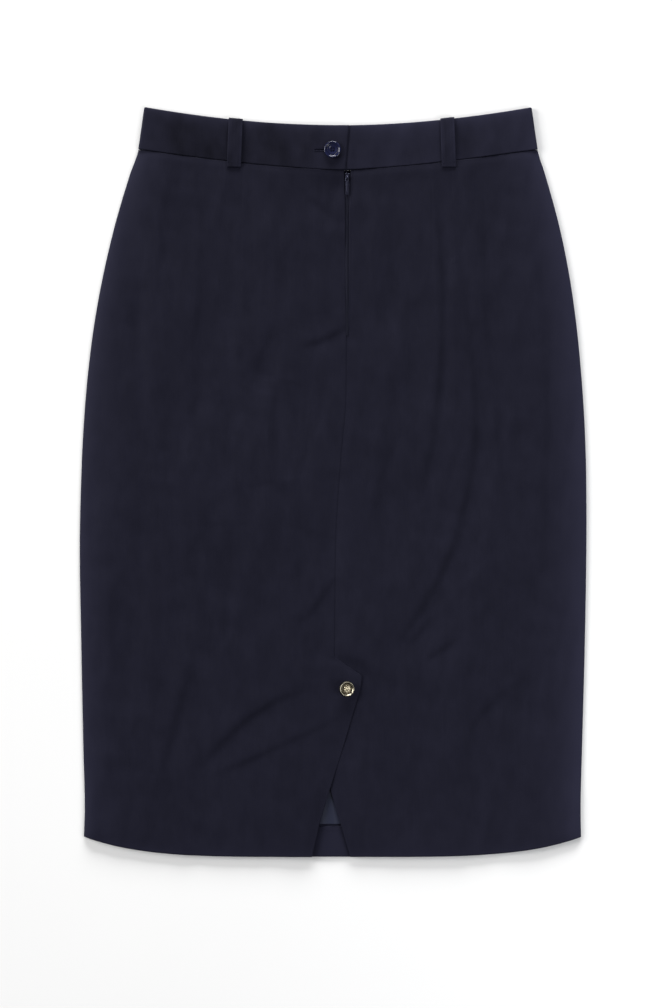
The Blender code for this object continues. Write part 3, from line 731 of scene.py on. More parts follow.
def back_panel(name, columns, left_edge, right_edge, face, outer_edge):
    """A back panel; outer_edge is left or right, the side that rolls under to the side seam."""

    def place(column, climb, outer):
        down = -climb
        x, y = on_panel(column, down, columns, left_edge, right_edge)
        side, inner = x - left_edge(y), right_edge(y) - x
        if outer_edge == "right":
            side, inner = inner, side
        in_hem = smoothstep(HEM_STEP - 40, HEM_STEP, down)
        roll = rounding(side, mix(SIDE_ROLL, HEM_SIDE_ROLL, in_hem))
        top = mix(face(x, y, down), BACK_SEAM_TOP, roll)
        thick = hemmed_wall(down) * (1.0 - rounding(side, BACK_SEAM_TAPER))
        # The sewn seam dips, the zip's edges are folds of cloth, and the vent's edges thin out
        dip = np.clip(1.0 - inner / SEWN_DIP_WIDTH[outer_edge], 0.0, 1.0) ** 2
        thinned = FLAP_THINNED * (1.0 - smoothstep(0.0, FLAP_TAPER, inner))
        thinned += FLAP_EDGE_THINNED * rounding(inner, FLAP_EDGE)
        lost = np.where(y > VENT_TOP, SEWN_DIP * dip, CLOTH * thinned)
        lost = np.where(y > ZIP_END, ZIP_FOLD_DROP * CLOTH * rounding(inner, ZIP_FOLD_RADIUS), lost)
        top, thick = top - lost, np.maximum(THINNEST, thick - lost)
        for ended in (rounding(down, CLOTH / 2), rounding(SKIRT_LENGTH - down, CLOTH)):
            top = top - thick / 2 * ended
            thick = np.maximum(THINNEST, thick * (1.0 - ended))
        # Painted sheen where the panel rolls under at its side and along its hem.
        painted_light_and_tone = PAINTED_SHEEN_SIDE[outer_edge] * np.exp(-side / PAINTED_SHEEN_REACH)
        painted_light_and_tone = np.maximum(painted_light_and_tone, PAINTED_SHEEN_HEM * np.exp((down - SKIRT_LENGTH) / PAINTED_SHEEN_HEM_REACH))
        return x, y, np.where(outer, top, top - thick), painted_light_and_tone

    def near_a_dart(column, climb):
        x, y = on_panel(column, -climb, columns, left_edge, right_edge)
        close = np.zeros(len(x), bool)
        for dart in DARTS:
            across, share = near_dart(dart, x, y)
            close |= (np.abs(across) < DART_FINER) & (share < 1.05) & (share > -0.2)
        return close

    order = np.arange(len(columns[0]))
    return cloth_shell(name, order, -back_rows[::-1], place, navy_cloth, near_a_dart)


back_rows = rimmed(
    0.0, SKIRT_LENGTH, RIM_STEPS, BACK_PITCH, (SEAM_DIP_WIDTH,), HEM_STEP + TURN_STEPS
)
INNER_STEPS = np.concatenate([RIM_STEPS[:-2], (1.8, 2.4, 3.2, 4.6)])
left_columns = panel_columns(BACK_EVEN_WIDTH, BACK_PITCH, RIM_STEPS, INNER_STEPS)
right_columns = panel_columns(BACK_EVEN_WIDTH, BACK_PITCH, INNER_STEPS, RIM_STEPS)
back_left = back_panel("back_left_cloth", left_columns, left_side, left_inner, left_face, "left")
back_right = back_panel("back_right_cloth", right_columns, right_inner, right_side, right_face, "right")
for panel, node, area in (
    (back_left, "back_panel_left", 0.131),
    (back_right, "back_panel_right", 0.127),
):
    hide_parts(node)

# Waistband
# One strip folded over stiffening, 40 mm deep. It runs from the left back, round both sides to its
# underlap at the right back, and its raised left end buttons over the other.
BAND_WALL = 2.0
BAND_PITCH = 1.5
BAND_DEPTH = 37.0
UNDERLAP_WALL = 1.4
BAND_LEFT_TOP, BAND_LEFT_SEAM = -167.9, -173.2
BAND_RIGHT_TOP, BAND_RIGHT_SEAM = 176.5, 181.9
BAND_END_TOP, BAND_END_SEAM = 14.3, 11.1
BAND_STEP = 1.6
BAND_UNDERLAP_END = -19.0
BAND_MID_FRONT = BAND_WALL / 2
BAND_MID_BACK = BAND_MID_FRONT + BAND_WALL + SEAM_GAP
BAND_BEND = (BAND_MID_BACK - BAND_MID_FRONT) / 2
BAND_TURN = BAND_BEND + BAND_WALL / 2
BAND_BESIDE_END = 6.0
BAND_TOP_ROLL, BAND_TOP_DROP = 8.0, 0.5
BAND_END_ROLL, BAND_END_DROP = 3.0, 0.4
BAND_SEAM_ROLL = 0.6
BAND_LIFT = 0.5
BAND_LIFT_FROM = 0.8
BAND_RIPPLED = 0.22
# Painted light on the band: painted sheen at its sides and top edge, painted darker at the left and
# paler at the right, and random mottled tone.
BAND_PAINTED_SHEEN_SIDE = 0.5
BAND_PAINTED_SHEEN_TOP, BAND_PAINTED_SHEEN_TOP_REACH = 0.6, 5.0
BAND_PAINTED_LIGHT_FALLOFF = (-0.18, 0.16)
BAND_MOTTLED = 0.14
WAIST_TOP = Line(4.8, 172.0, 333.2, 16.3, 1.85)
SLIT_LEFT, SLIT_RIGHT = -16.6, 1.0
SLIT_HEIGHT = 294.9
SLIT_DEPTH = 0.7
SLIT_WIDTH = 0.42
SLIT_END = 0.8
SLIT_FINER_X, SLIT_FINER_Y = 2.0, 2.4
OVERLAP_STATIONS = 60

# Slow waves of a strip: their height, and how soon they turn along it and across it
Wave = namedtuple("Wave", "height run side start")
BAND_WAVES = [
    Wave(0.16, 9.0, 30.0, 0.0),
    Wave(0.07, 4.1, -9.0, 1.0),
    Wave(0.14, 21.0, -13.0, 2.0),
]

# A station of the strip: x as shares of the skirt's left, right and overlap's end and an offset
Station = namedtuple("Station", "left right end x z wall", defaults=[BAND_WALL])


def waves(table, run, side):
    return sum(row.height * np.sin(run / row.run + side / row.side + row.start) for row in table)


def bend(left, right, start):
    """Stations half round one side of the skirt, from a starting angle."""
    stations = []
    for angle in np.linspace(start, start + math.pi, 14)[1:-1]:
        x, z = BAND_BEND * math.cos(angle), BAND_BEND * math.sin(angle)
        stations.append(Station(left, right, 0, x, BAND_MID_FRONT + BAND_BEND + z))
    return stations


def band_stations():
    raised = BAND_MID_BACK + BAND_RAISE
    underlap = BAND_WALL + SEAM_GAP + UNDERLAP_WALL / 2
    stations = [Station(0, 0, 1, x, raised) for x in -RIM_STEPS]
    for x in np.arange(BAND_BESIDE_END, BAND_RAISE_FROM, -BAND_PITCH / 2):
        share = smoothstep(BAND_RAISE_FROM, BAND_RAISE_TO, x)
        stations.append(Station(0, 0, 0, x, mix(BAND_MID_BACK, raised, share)))
    for share in np.linspace(0.0, 1.0, 60):
        stations.append(Station(share, 0, 0, mix(BAND_RAISE_FROM, 0, share), BAND_MID_BACK))
    stations += bend(1, 0, math.pi / 2)
    for share in np.linspace(0.0, 1.0, 150):
        stations.append(Station(1 - share, share, 0, 0, BAND_MID_FRONT))
    stations += bend(0, 1, -math.pi / 2)
    for share in np.linspace(0.0, 1.0, 101):
        lifted = BAND_MID_BACK + BAND_LIFT * smoothstep(BAND_LIFT_FROM, 1.0, share)
        stations.append(Station(0, 1 - share, share, BAND_STEP * share, lifted))
    stations.append(Station(0, 0, 1, -BAND_STEP, underlap, UNDERLAP_WALL))
    before_rim = np.linspace(BAND_BESIDE_END, BAND_UNDERLAP_END + RIM_STEPS[-1], 12)
    for x in np.concatenate([before_rim, BAND_UNDERLAP_END + RIM_STEPS[::-1]]):
        stations.append(Station(0, 0, 0, x, underlap, UNDERLAP_WALL))
    return np.array(stations)


band = band_stations()
band_rows = rimmed(0.0, BAND_DEPTH, RIM_STEPS[:-1], BAND_PITCH)
band_sides = ((BAND_LEFT_TOP + BAND_LEFT_SEAM) / 2, (BAND_RIGHT_TOP + BAND_RIGHT_SEAM) / 2)
band_x = band[:, :4] @ (*band_sides, BAND_END_TOP, 1.0)
band_run = np.concatenate([[0.0], np.cumsum(np.hypot(np.diff(band_x), np.diff(band[:, 4])))])
band_columns = [*band.T, band_run, np.gradient(band_x), np.gradient(band[:, 4])]


def place_band(station, depth, outer):
    left, right, end, offset, z, wall, run, slope_x, slope_z = read_at(station, band_columns)
    slope = np.hypot(slope_x, slope_z)
    share = depth / BAND_DEPTH
    x = left * (mix(BAND_LEFT_TOP, BAND_LEFT_SEAM, share) + BAND_TURN)
    x += right * (mix(BAND_RIGHT_TOP, BAND_RIGHT_SEAM, share) - BAND_TURN)
    x += end * mix(BAND_END_TOP, BAND_END_SEAM, share) + offset
    y = mix(line_height(WAIST_TOP, x), line_height(WAIST_SEAM, x) + SEAM_GAP / 2, share)
    half = wall / 2
    edge = np.maximum(rounding(depth, half), rounding(BAND_DEPTH - depth, BAND_SEAM_ROLL))
    ends = np.maximum(rounding(run, half), rounding(band_run[-1] - run, half))
    kept = 1.0 - np.maximum(edge, ends)
    half = half * kept + THINNEST / 2
    wave = waves(BAND_WAVES, run, depth) + BAND_RIPPLED * ripples(1.3 * x, 2.0 * y)
    wave += seam_pucker(run, BAND_DEPTH - depth - 1.5, WAIST_PUCKER, SEAM_PUCKER_REACH)
    wave -= BAND_TOP_DROP * rounding(depth, BAND_TOP_ROLL)
    wave -= BAND_END_DROP * rounding(run, BAND_END_ROLL)
    on_back = z > BAND_MID_BACK - 0.1
    half_out = np.maximum(THINNEST / 2, half + np.where(on_back, wave * kept, 0.0))
    in_slit = smoothstep(SLIT_LEFT, SLIT_LEFT + SLIT_END, x)
    in_slit *= 1.0 - smoothstep(SLIT_RIGHT - SLIT_END, SLIT_RIGHT, x)
    slit = SLIT_DEPTH * in_slit * np.exp(-((y - SLIT_HEIGHT) / SLIT_WIDTH) ** 2)
    half_out = half_out - np.where(z > BAND_MID_BACK + 1.0, slit, 0.0)
    reach = np.where(outer, half_out, -half)
    # Painted sheen at the sides and top edge, painted light from left to right, and random tone.
    painted_sheen_side = BAND_PAINTED_SHEEN_SIDE * np.exp(-np.abs(inside_sides(x, y)) / PAINTED_SHEEN_REACH)
    painted_light_and_tone = np.maximum(painted_sheen_side, BAND_PAINTED_SHEEN_TOP * np.exp(-depth / BAND_PAINTED_SHEEN_TOP_REACH))
    painted_light_and_tone += mix(*BAND_PAINTED_LIGHT_FALLOFF, smoothstep(-90.0, 90.0, x))
    painted_light_and_tone += BAND_MOTTLED * ripples(1.7 * x, 3.0 * y)
    return x + reach * slope_z / slope, y, z - reach * slope_x / slope, painted_light_and_tone


def near_slit(station, depth):
    x = read_at(station, [band_x])[0]
    y = line_height(WAIST_TOP, x) - depth
    near = (x > SLIT_LEFT - SLIT_FINER_X) & (x < SLIT_RIGHT + SLIT_FINER_X)
    near &= np.abs(y - SLIT_HEIGHT) < SLIT_FINER_Y
    # The strip comes by here again on the front and the underlap, at later stations
    return near & (station < OVERLAP_STATIONS)


waistband = cloth_shell(
    "waistband_cloth", np.arange(len(band)), band_rows, place_band, navy_cloth, near_slit
)
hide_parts("waistband")

# Belt loops
# Two narrow strips of the cloth with both edges folded in. Each is caught into the waistband's top
# edge, and its turned-under foot is tacked to the skirt just below the seam.
Loop = namedtuple("Loop", "name node x slant faded")
# The last value is painted light: the left loop is painted darker and the right one paler.
LOOPS = [
    Loop("belt_loop_left_cloth", "belt_loop_left", -86.3, -1.8, -0.12),
    Loop("belt_loop_right_cloth", "belt_loop_right", 101.4, 1.4, 0.12),
]
LOOP_MOTTLED = 0.2
LOOP_PAINTED_SHEEN_EDGE, LOOP_PAINTED_SHEEN_REACH = 0.35, 1.2
LOOP_WIDTH = 12.5
LOOP_WALL = 0.9
LOOP_FOOT = 279.5
LOOP_LEAVES = 0.1
LOOP_LEANS = 0.35
LOOP_BULGE = 0.9
LOOP_FOOT_TURN = 7.0
LOOP_FOOT_TURNED = 0.35
LOOP_SPACING = 0.4
LOOP_PITCH = 0.5
LOOP_WAVES = [Wave(0.05, 3.1, 2.0, 0.0)]

# How a loop comes up behind the band's top edge and over it: down from its top, up from the face
Step = namedtuple("Step", "down up")
LOOP_TOP = [Step(0.0, -1.8), Step(0.0, -0.2), Step(0.3, 0.55), Step(0.9, 0.8)]

# The ridges that a loop's folded edges and its middle press up: place, half-width and height
Ridge = namedtuple("Ridge", "place width height")
LOOP_RIDGES = [Ridge(2.9, 1.1, 0.12), Ridge(0.0, 1.5, 0.072)]


def loop_line(x):
    """A loop's middle line in the plane of its length, from behind the top edge down to its foot."""
    top = line_height(WAIST_TOP, x)
    band_face = 2 * BAND_WALL + SEAM_GAP
    lift = SEAM_GAP + LOOP_WALL / 2
    share = np.linspace(0.0, 1.0, 40)[2:]
    hang = lift + LOOP_LEAVES + LOOP_LEANS * share + LOOP_BULGE * np.sin(math.pi * share)
    y = np.concatenate([[top + lift - step.down for step in LOOP_TOP], mix(top, LOOP_FOOT, share)])
    z = band_face + np.concatenate([[step.up for step in LOOP_TOP], hang])
    run = np.concatenate([[0.0], np.cumsum(np.hypot(np.diff(y), np.diff(z)))])
    even = np.linspace(0.0, run[-1], int(run[-1] / LOOP_SPACING))
    line = np.array([np.interp(even, run, y), np.interp(even, run, z)])
    for _ in range(3):
        line[:, 1:-1] = (line[:, :-2] + 2 * line[:, 1:-1] + line[:, 2:]) / 4
    return *line, even


def belt_loop(loop):
    """A strip along its loop's middle line, with ridges along its folded edges."""
    line_y, line_z, line_run = loop_line(loop.x)
    columns = [line_y, line_z, line_run, np.gradient(line_y), np.gradient(line_z)]

    def place(order, across, outer):
        y, z, run, slope_y, slope_z = read_at(order, columns)
        slope = np.hypot(slope_y, slope_z)
        down = (line_y[0] - y) / (line_y[0] - line_y[-1])
        x = loop.x + loop.slant * down + across
        sag = line_height(WAIST_TOP, x) - line_height(WAIST_TOP, loop.x)
        left, inside = line_run[-1] - run, LOOP_WIDTH / 2 - np.abs(across)
        half = LOOP_WALL / 2
        edge = np.maximum(rounding(inside, half), rounding(np.minimum(run, left), half))
        raised = waves(LOOP_WAVES, run, across)
        for ridge in LOOP_RIDGES:
            raised += ridge.height * swell((np.abs(across) - ridge.place) / ridge.width)
        turned = LOOP_FOOT_TURNED * smoothstep(LOOP_FOOT_TURN, LOOP_FOOT_TURN - 1.5, left)
        wall = (half + np.where(outer, raised, turned)) * (1.0 - edge) + THINNEST / 2
        reach = np.where(outer, wall, -wall) / slope
        # Painted sheen along the folded edges, painted light for each loop's side, and random tone.
        painted_light_and_tone = LOOP_PAINTED_SHEEN_EDGE * np.exp(-inside / LOOP_PAINTED_SHEEN_REACH) + loop.faded
        painted_light_and_tone += LOOP_MOTTLED * ripples(3.0 * x, 2.0 * y)
        return x, y + sag * (1.0 - down) + reach * slope_z, z - reach * slope_y, painted_light_and_tone

    across_loop = rimmed(-LOOP_WIDTH / 2, LOOP_WIDTH / 2, RIM_STEPS[:5], LOOP_PITCH)
    return cloth_shell(loop.name, np.arange(len(line_y)), across_loop, place, navy_cloth)


for loop in LOOPS:
    piece = belt_loop(loop)
    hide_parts(loop.node)

# Lining
# The stretch of dark blue satin lining that shows in the open vent, hemmed just above the skirt's
# turned-up hem.
LINING_HALF_WIDTH = 36.0
LINING_LENGTH = 69.0
LINING_TOP = -236.0
LINING_ABOVE_HEM = 2.2
LINING_WALL = 0.4
LINING_FACE = 2.3
LINING_WAVES = [Wave(0.3, 4.3, 40.0, 0.0), Wave(0.15, 2.1, -23.0, 0.0)]
LINING_CREASE = 0.25
LINING_CREASE_REACH = 2.0
LINING_CREASE_PLACE = Point(-279.0, -1.2)
LINING_CREASE_LEAN = 0.13


def satin_finish():
    material, place, shader = new_finish("blue_satin", 0.4, 0.15)
    float_threads = place.noise((2600.0, 60.0, 300.0))
    share = float_threads * 0.5 + place.noise((60.0, 25.0, 60.0)) * 0.5
    share.colours((0.0130, 0.0148, 0.0280), (0.0212, 0.0240, 0.0430)).into(shader, "Base Color")
    (float_threads * 0.15 + 0.36).into(shader, "Roughness")
    float_threads.bumps(shader, 0.2, 0.05)
    return material


def thin_sheet(face, inside, wall, outer):
    """The height of a thin sheet's points: its wall lies under its face and closes at its edges."""
    thick = wall * (1.0 - rounding(inside, wall / 2)) + THINNEST
    return face - wall / 2 + np.where(outer, thick, -thick) / 2


def place_lining(across, down, outer):
    foot = row_height(across, HEM_STEP) + LINING_ABOVE_HEM
    y = mix(LINING_TOP, foot, down)
    crease_x = LINING_CREASE_PLACE.x + LINING_CREASE_LEAN * (LINING_CREASE_PLACE.height - y)
    face = LINING_FACE + waves(LINING_WAVES, across, y)
    face += LINING_CREASE * fall((across - crease_x) / LINING_CREASE_REACH)
    inside = np.minimum(LINING_HALF_WIDTH - np.abs(across), (1.0 - down) * (LINING_TOP - foot))
    return across, y, thin_sheet(face, inside, LINING_WALL, outer), 0.0 * across


lining_across = rimmed(-LINING_HALF_WIDTH, LINING_HALF_WIDTH, RIM_STEPS[:5], 1.0)
lining_down = 1.0 - filled([*RIM_STEPS[:5], LINING_LENGTH], 1.5) / LINING_LENGTH
lining = cloth_shell("vent_lining_satin", lining_across, lining_down, place_lining, satin_finish())
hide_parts("vent_lining")

# Zip
# A woven tape that lies behind the opening, with a closed nylon coil along its middle. The tape
# arches up a little between the two folded edges.
ZIP_X = 12.5
ZIP_TOP = 266.0
TAPE_WIDTH = 24.0
TAPE_WALL = 0.6
TAPE_FLOOR = 1.6
TAPE_ARCH = 1.3
TAPE_ARCH_REACH = 4.0
TAPE_FOOT = ZIP_END + 1.0
TAPE_DARK, TAPE_LIGHT = (0.012, 0.012, 0.022), (0.019, 0.019, 0.032)
TAPE_THREAD = 0.7
COIL_PITCH = 0.95
COIL_LENGTH, COIL_WIDTH, COIL_THICK = 2.3, 0.8, 0.85
COIL_SHIFT = 0.3
COIL_SLANT = 0.12
COIL_DARK, COIL_LIGHT = (0.0045, 0.0045, 0.009), (0.0085, 0.0085, 0.015)
BLUISH = (0.62, 0.66, 1.0)
NYLON_GRAIN = (900.0, 260.0, 900.0)


def tape_face(across):
    return TAPE_FLOOR + TAPE_WALL + TAPE_ARCH * np.exp(-(across / TAPE_ARCH_REACH) ** 2)


def place_tape(across, y, outer):
    inside = np.minimum(TAPE_WIDTH / 2 - np.abs(across), np.minimum(ZIP_TOP - y, y - TAPE_FOOT))
    return ZIP_X + across, y, thin_sheet(tape_face(across), inside, TAPE_WALL, outer), 0.0 * across


def hard_finish(name, grain, dark, light, smoothest, uneven, gloss, detail=2.0, tint=(1.0, 1.0, 1.0)):
    """Nylon, lacquer or resin: its tone and its roughness vary together over a grain."""
    material, place, shader = new_finish(name, smoothest, gloss)
    tone = place.noise(grain, detail)
    tone.colours(dark, light).into(shader, "Base Color")
    (tone * uneven + smoothest).into(shader, "Roughness")
    shader.inputs["Specular Tint"].default_value = (*tint, 1.0)
    return material


def finished(form, name, finish, body="skirt"):
    """The piece of a form that was modelled in millimetres."""
    bmesh.ops.recalc_face_normals(form, faces=form.faces)
    bmesh.ops.scale(form, vec=(MM, MM, MM), verts=form.verts)
    mesh = mesh_of(form, name)
    mesh.shade_smooth()
    return add_piece(name, mesh, finish, body)


def add_ball(form, size, place, turn=0.0, tilt=0.0, u_segments=8, v_segments=6):
    """A ball pulled to a size, tilted about Y, turned about Z and put in its place."""
    matrix = Matrix.Translation(place) @ Matrix.Rotation(turn, 4, "Z") @ Matrix.Rotation(tilt, 4, "Y")
    matrix = matrix @ Matrix.Diagonal((*size, 1.0))
    bmesh.ops.create_uvsphere(
        form, u_segments=u_segments, v_segments=v_segments, radius=0.5, matrix=matrix
    )


tape_cloth = woven_finish("zip_tape_weave", TAPE_DARK, TAPE_LIGHT, TAPE_THREAD)
tape_across = rimmed(-TAPE_WIDTH / 2, TAPE_WIDTH / 2, RIM_STEPS[:4], 0.8)
tape_along = rimmed(TAPE_FOOT, ZIP_TOP, RIM_STEPS[:4], 3.0)
tape = cloth_shell("zip_tape_cloth", tape_across, tape_along, place_tape, tape_cloth)
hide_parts("zip_tape")

coil_height = float(tape_face(0.0)) + COIL_THICK * 0.3
coil_form = bmesh.new()
for index in range(int((ZIP_TOP - TAPE_FOOT - 1.0) / COIL_PITCH)):
    side = 1 if index % 2 else -1
    place = (ZIP_X + side * COIL_SHIFT, TAPE_FOOT + 0.5 + COIL_PITCH * index, coil_height)
    add_ball(coil_form, (COIL_LENGTH, COIL_WIDTH, COIL_THICK), place, side * COIL_SLANT)
coil_nylon = hard_finish(
    "zip_coil_nylon", NYLON_GRAIN, COIL_DARK, COIL_LIGHT,
    smoothest=0.5, uneven=0.1, gloss=0.14, tint=BLUISH,
)
coil = finished(coil_form, "zip_coil", coil_nylon)

# Zip's slider and pull tab
# A small cast slider and a stamped pull tab, both lacquered navy. The tab hangs from the slider's
# bridge, lies down along the zip, and swings on the bridge.
SLIDER_Y = 270.5
SLIDER_WIDTH = 4.4
SLIDER_LENGTH = 8.0
SLIDER_FLOOR = 2.6
PIVOT_Z = 4.9
BRIDGE_WIDTH = 1.0
BRIDGE_WALL = 0.6
BRIDGE_RADIUS = 1.7
BRIDGE_STRETCH = 1.24
BRIDGE_ROOT = 0.5
SLIDER_NECK = 0.78
SLIDER_CORNER, SLIDER_RIM = 0.9, 0.35
WINDOW_HEIGHT = 1.8
TAB_LENGTH = 16.0
TAB_WIDTH = 2.8
TAB_WALL = 0.8
TAB_BAR = 0.8
TAB_EYE_WIDTH = 1.6
TAB_EYE_LENGTH = 2.0
TAB_EDGE = 0.14
TAB_CORNER, TAB_EYE_CORNER = 0.8, 0.25
RIB_SIZE = (0.9, 11.0, 0.6)
RIB_PLACE = (0.0, -8.6, TAB_WALL / 2 - 0.08)
WORN_GRAIN = (1500.0, 900.0, 1500.0)


def lacquer_finish(name, dark, light, smoothest, gloss):
    """Lacquer over cast metal: a hard gloss, with the wear of handling in its roughness."""
    return hard_finish(
        name, WORN_GRAIN, dark, light, smoothest, uneven=0.2, gloss=gloss, detail=4.0, tint=BLUISH
    )


slider_lacquer = lacquer_finish(
    "slider_lacquer", (0.004, 0.004, 0.009), (0.012, 0.012, 0.020), smoothest=0.1, gloss=0.95
)
tab_lacquer = lacquer_finish(
    "tab_lacquer", (0.005, 0.005, 0.010), (0.010, 0.010, 0.018), smoothest=0.25, gloss=0.4
)


def bevelled(form, edges, offset, segments):
    bmesh.ops.bevel(
        form, geom=edges, offset=offset, offset_type="OFFSET", segments=segments, profile=0.5,
        affect="EDGES", material=-1,
    )


def drawn_out(form, edges, rise):
    """Draw a ring of edges out along Z, and return the new ring's edges and vertices."""
    made = bmesh.ops.extrude_edge_only(form, edges=edges)["geom"]
    vertices = [piece for piece in made if isinstance(piece, bmesh.types.BMVert)]
    bmesh.ops.translate(form, verts=vertices, vec=(0.0, 0.0, rise))
    sides = [piece for piece in made if isinstance(piece, bmesh.types.BMEdge)]
    ring = [edge for edge in sides if all(vertex in vertices for vertex in edge.verts)]
    return ring + vertices


def rise_of(edge):
    return abs(edge.verts[0].co.z - edge.verts[1].co.z)


def slider_form():
    """The slider's body, a tapered shield with soft edges, and the bridge arched over it."""
    form = bmesh.new()
    roof = PIVOT_Z - WINDOW_HEIGHT / 2
    size = (SLIDER_WIDTH, SLIDER_LENGTH, roof - SLIDER_FLOOR, 1.0)
    centre = (ZIP_X, SLIDER_Y, (roof + SLIDER_FLOOR) / 2)
    bmesh.ops.create_cube(form, size=1.0, matrix=Matrix.Translation(centre) @ Matrix.Diagonal(size))
    for vertex in form.verts:
        if vertex.co.y < SLIDER_Y:
            vertex.co.x = ZIP_X + (vertex.co.x - ZIP_X) * SLIDER_NECK
    bevelled(form, [edge for edge in form.edges if rise_of(edge) > 0.5], SLIDER_CORNER, 4)
    level = [edge for edge in form.edges if rise_of(edge) < 0.01]
    bevelled(form, [edge for edge in level if edge.calc_face_angle(0.0) > 1.0], SLIDER_RIM, 3)
    arch = bmesh.new()
    bmesh.ops.create_circle(arch, cap_ends=False, segments=12, radius=0.5, matrix=Matrix.Identity(4))
    for vertex in arch.verts:
        x, y = vertex.co.x * BRIDGE_WIDTH, vertex.co.y * BRIDGE_WALL
        vertex.co = (x, y - BRIDGE_RADIUS, -BRIDGE_ROOT)
    swept = bmesh.ops.spin(
        arch, geom=drawn_out(arch, arch.edges[:], BRIDGE_ROOT), cent=(0.0, 0.0, 0.0),
        axis=(1.0, 0.0, 0.0), angle=-math.pi, steps=18, use_merge=False,
    )
    last = [piece for piece in swept["geom_last"] if isinstance(piece, bmesh.types.BMEdge)]
    drawn_out(arch, last, -BRIDGE_ROOT)
    bmesh.ops.holes_fill(arch, edges=arch.edges)
    bmesh.ops.scale(arch, vec=(1.0, 1.0, BRIDGE_STRETCH), verts=arch.verts)
    bmesh.ops.translate(arch, vec=(ZIP_X, SLIDER_Y, roof), verts=arch.verts)
    bridge = mesh_of(arch, "bridge")
    form.from_mesh(bridge)
    bpy.data.meshes.remove(bridge)
    return form


slider = finished(slider_form(), "zip_slider_lacquered", slider_lacquer)
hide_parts("zip_slider")


def rounded_outline(low, high, half, corner):
    """A rectangle round X = 0 with round corners, as points anticlockwise."""
    centres = [(half - corner, high - corner), (corner - half, high - corner)]
    centres += [(corner - half, low + corner), (half - corner, low + corner)]
    points = []
    for quarter, (centre_x, centre_y) in enumerate(centres):
        for step in range(7):
            angle = math.pi / 2 * (quarter + step / 6)
            points.append((centre_x + corner * math.cos(angle), centre_y + corner * math.sin(angle)))
    return points


def form_of(drawn):
    """The form of an object with its curve filled or its modifiers applied. The object is removed."""
    mesh = bpy.data.meshes.new_from_object(drawn.evaluated_get(bpy.context.evaluated_depsgraph_get()))
    bpy.data.objects.remove(drawn, do_unlink=True)
    form = bmesh.new()
    form.from_mesh(mesh)
    bpy.data.meshes.remove(mesh)
    bmesh.ops.remove_doubles(form, verts=form.verts, dist=0.001)
    return form


def tab_form():
    """The tab's plate with its eye, drawn as a filled outline, and the rib stamped down its middle."""
    curve = bpy.data.curves.new("tab", "CURVE")
    curve.dimensions = "2D"
    curve.fill_mode = "BOTH"
    curve.extrude = TAB_WALL / 2 - TAB_EDGE
    curve.bevel_depth = TAB_EDGE
    curve.bevel_resolution = 2
    curve.offset = -TAB_EDGE
    bar = TAB_BAR / 2
    outline = rounded_outline(bar - TAB_LENGTH, bar, TAB_WIDTH / 2, TAB_CORNER)
    eye = rounded_outline(-bar - TAB_EYE_LENGTH, -bar, TAB_EYE_WIDTH / 2, TAB_EYE_CORNER)
    for points in (outline, eye):
        spline = curve.splines.new("POLY")
        spline.points.add(len(points) - 1)
        for point, (x, y) in zip(spline.points, points):
            point.co = (x, y, 0.0, 1.0)
        spline.use_cyclic_u = True
    form = form_of(in_scene("tab_outline", curve))
    add_ball(form, RIB_SIZE, RIB_PLACE, u_segments=16, v_segments=12)
    bmesh.ops.translate(form, vec=(ZIP_X, SLIDER_Y, PIVOT_Z), verts=form.verts)
    return form


tab = finished(tab_form(), "zip_pull_tab_lacquered", tab_lacquer, "zip_pull")
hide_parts("zip_pull_tab")

# Waistband's button
# A 15 mm button of polished navy resin with four holes. It has a round raised rim, a groove inside
# it, and a dished middle, and is sewn on with navy thread.
WAIST_BUTTON = (-0.5, 294.8)
WAIST_BUTTON_RADIUS = 7.5
WAIST_BUTTON_HEIGHT = 2.8
WAIST_BUTTON_BASE = 6.3
HOLE_RADIUS = 0.8
HOLE_SPREAD = 1.5
STRAND = (3.0, 0.36, 0.5)
STRAND_SPREAD = 0.34
STRAND_TURN = 0.06
STRAND_HEIGHT = WAIST_BUTTON_BASE + 0.46 * WAIST_BUTTON_HEIGHT + 0.12
RESIN_DARK, RESIN_LIGHT = (0.004, 0.005, 0.021), (0.008, 0.010, 0.040)
RESIN_GRAIN = (500.0, 500.0, 500.0)
THREAD_DARK, THREAD_LIGHT = (0.005, 0.005, 0.011), (0.009, 0.009, 0.018)
TURNED_STEPS = 72

# A turned piece's profile, from the middle of its face round to the middle of its back
Ring = namedtuple("Ring", "radius height")
WAIST_BUTTON_RINGS = [
    Ring(0.00, 0.46),
    Ring(0.30, 0.47),
    Ring(0.40, 0.52),
    Ring(0.47, 0.62),
    Ring(0.53, 0.66),
    Ring(0.59, 0.62),
    Ring(0.64, 0.54),
    Ring(0.69, 0.55),
    Ring(0.74, 0.70),
    Ring(0.80, 0.90),
    Ring(0.86, 0.99),
    Ring(0.91, 1.00),
    Ring(0.96, 0.93),
    Ring(0.99, 0.80),
    Ring(1.00, 0.66),
    Ring(0.99, 0.50),
    Ring(0.95, 0.32),
    Ring(0.86, 0.10),
    Ring(0.80, 0.00),
    Ring(0.00, 0.00),
]


def turned_form(rings, radius, height):
    """A closed form turned about Z from its profile."""
    form = bmesh.new()
    corners = [form.verts.new((ring.radius * radius, 0.0, ring.height * height)) for ring in rings]
    for start, end in zip(corners, corners[1:]):
        form.edges.new((start, end))
    bmesh.ops.spin(
        form, geom=form.verts[:] + form.edges[:], cent=(0, 0, 0), axis=(0, 0, 1), angle=2 * math.pi,
        steps=TURNED_STEPS, use_merge=True,
    )
    bmesh.ops.remove_doubles(form, verts=form.verts, dist=0.001)
    bmesh.ops.recalc_face_normals(form, faces=form.faces)
    return form


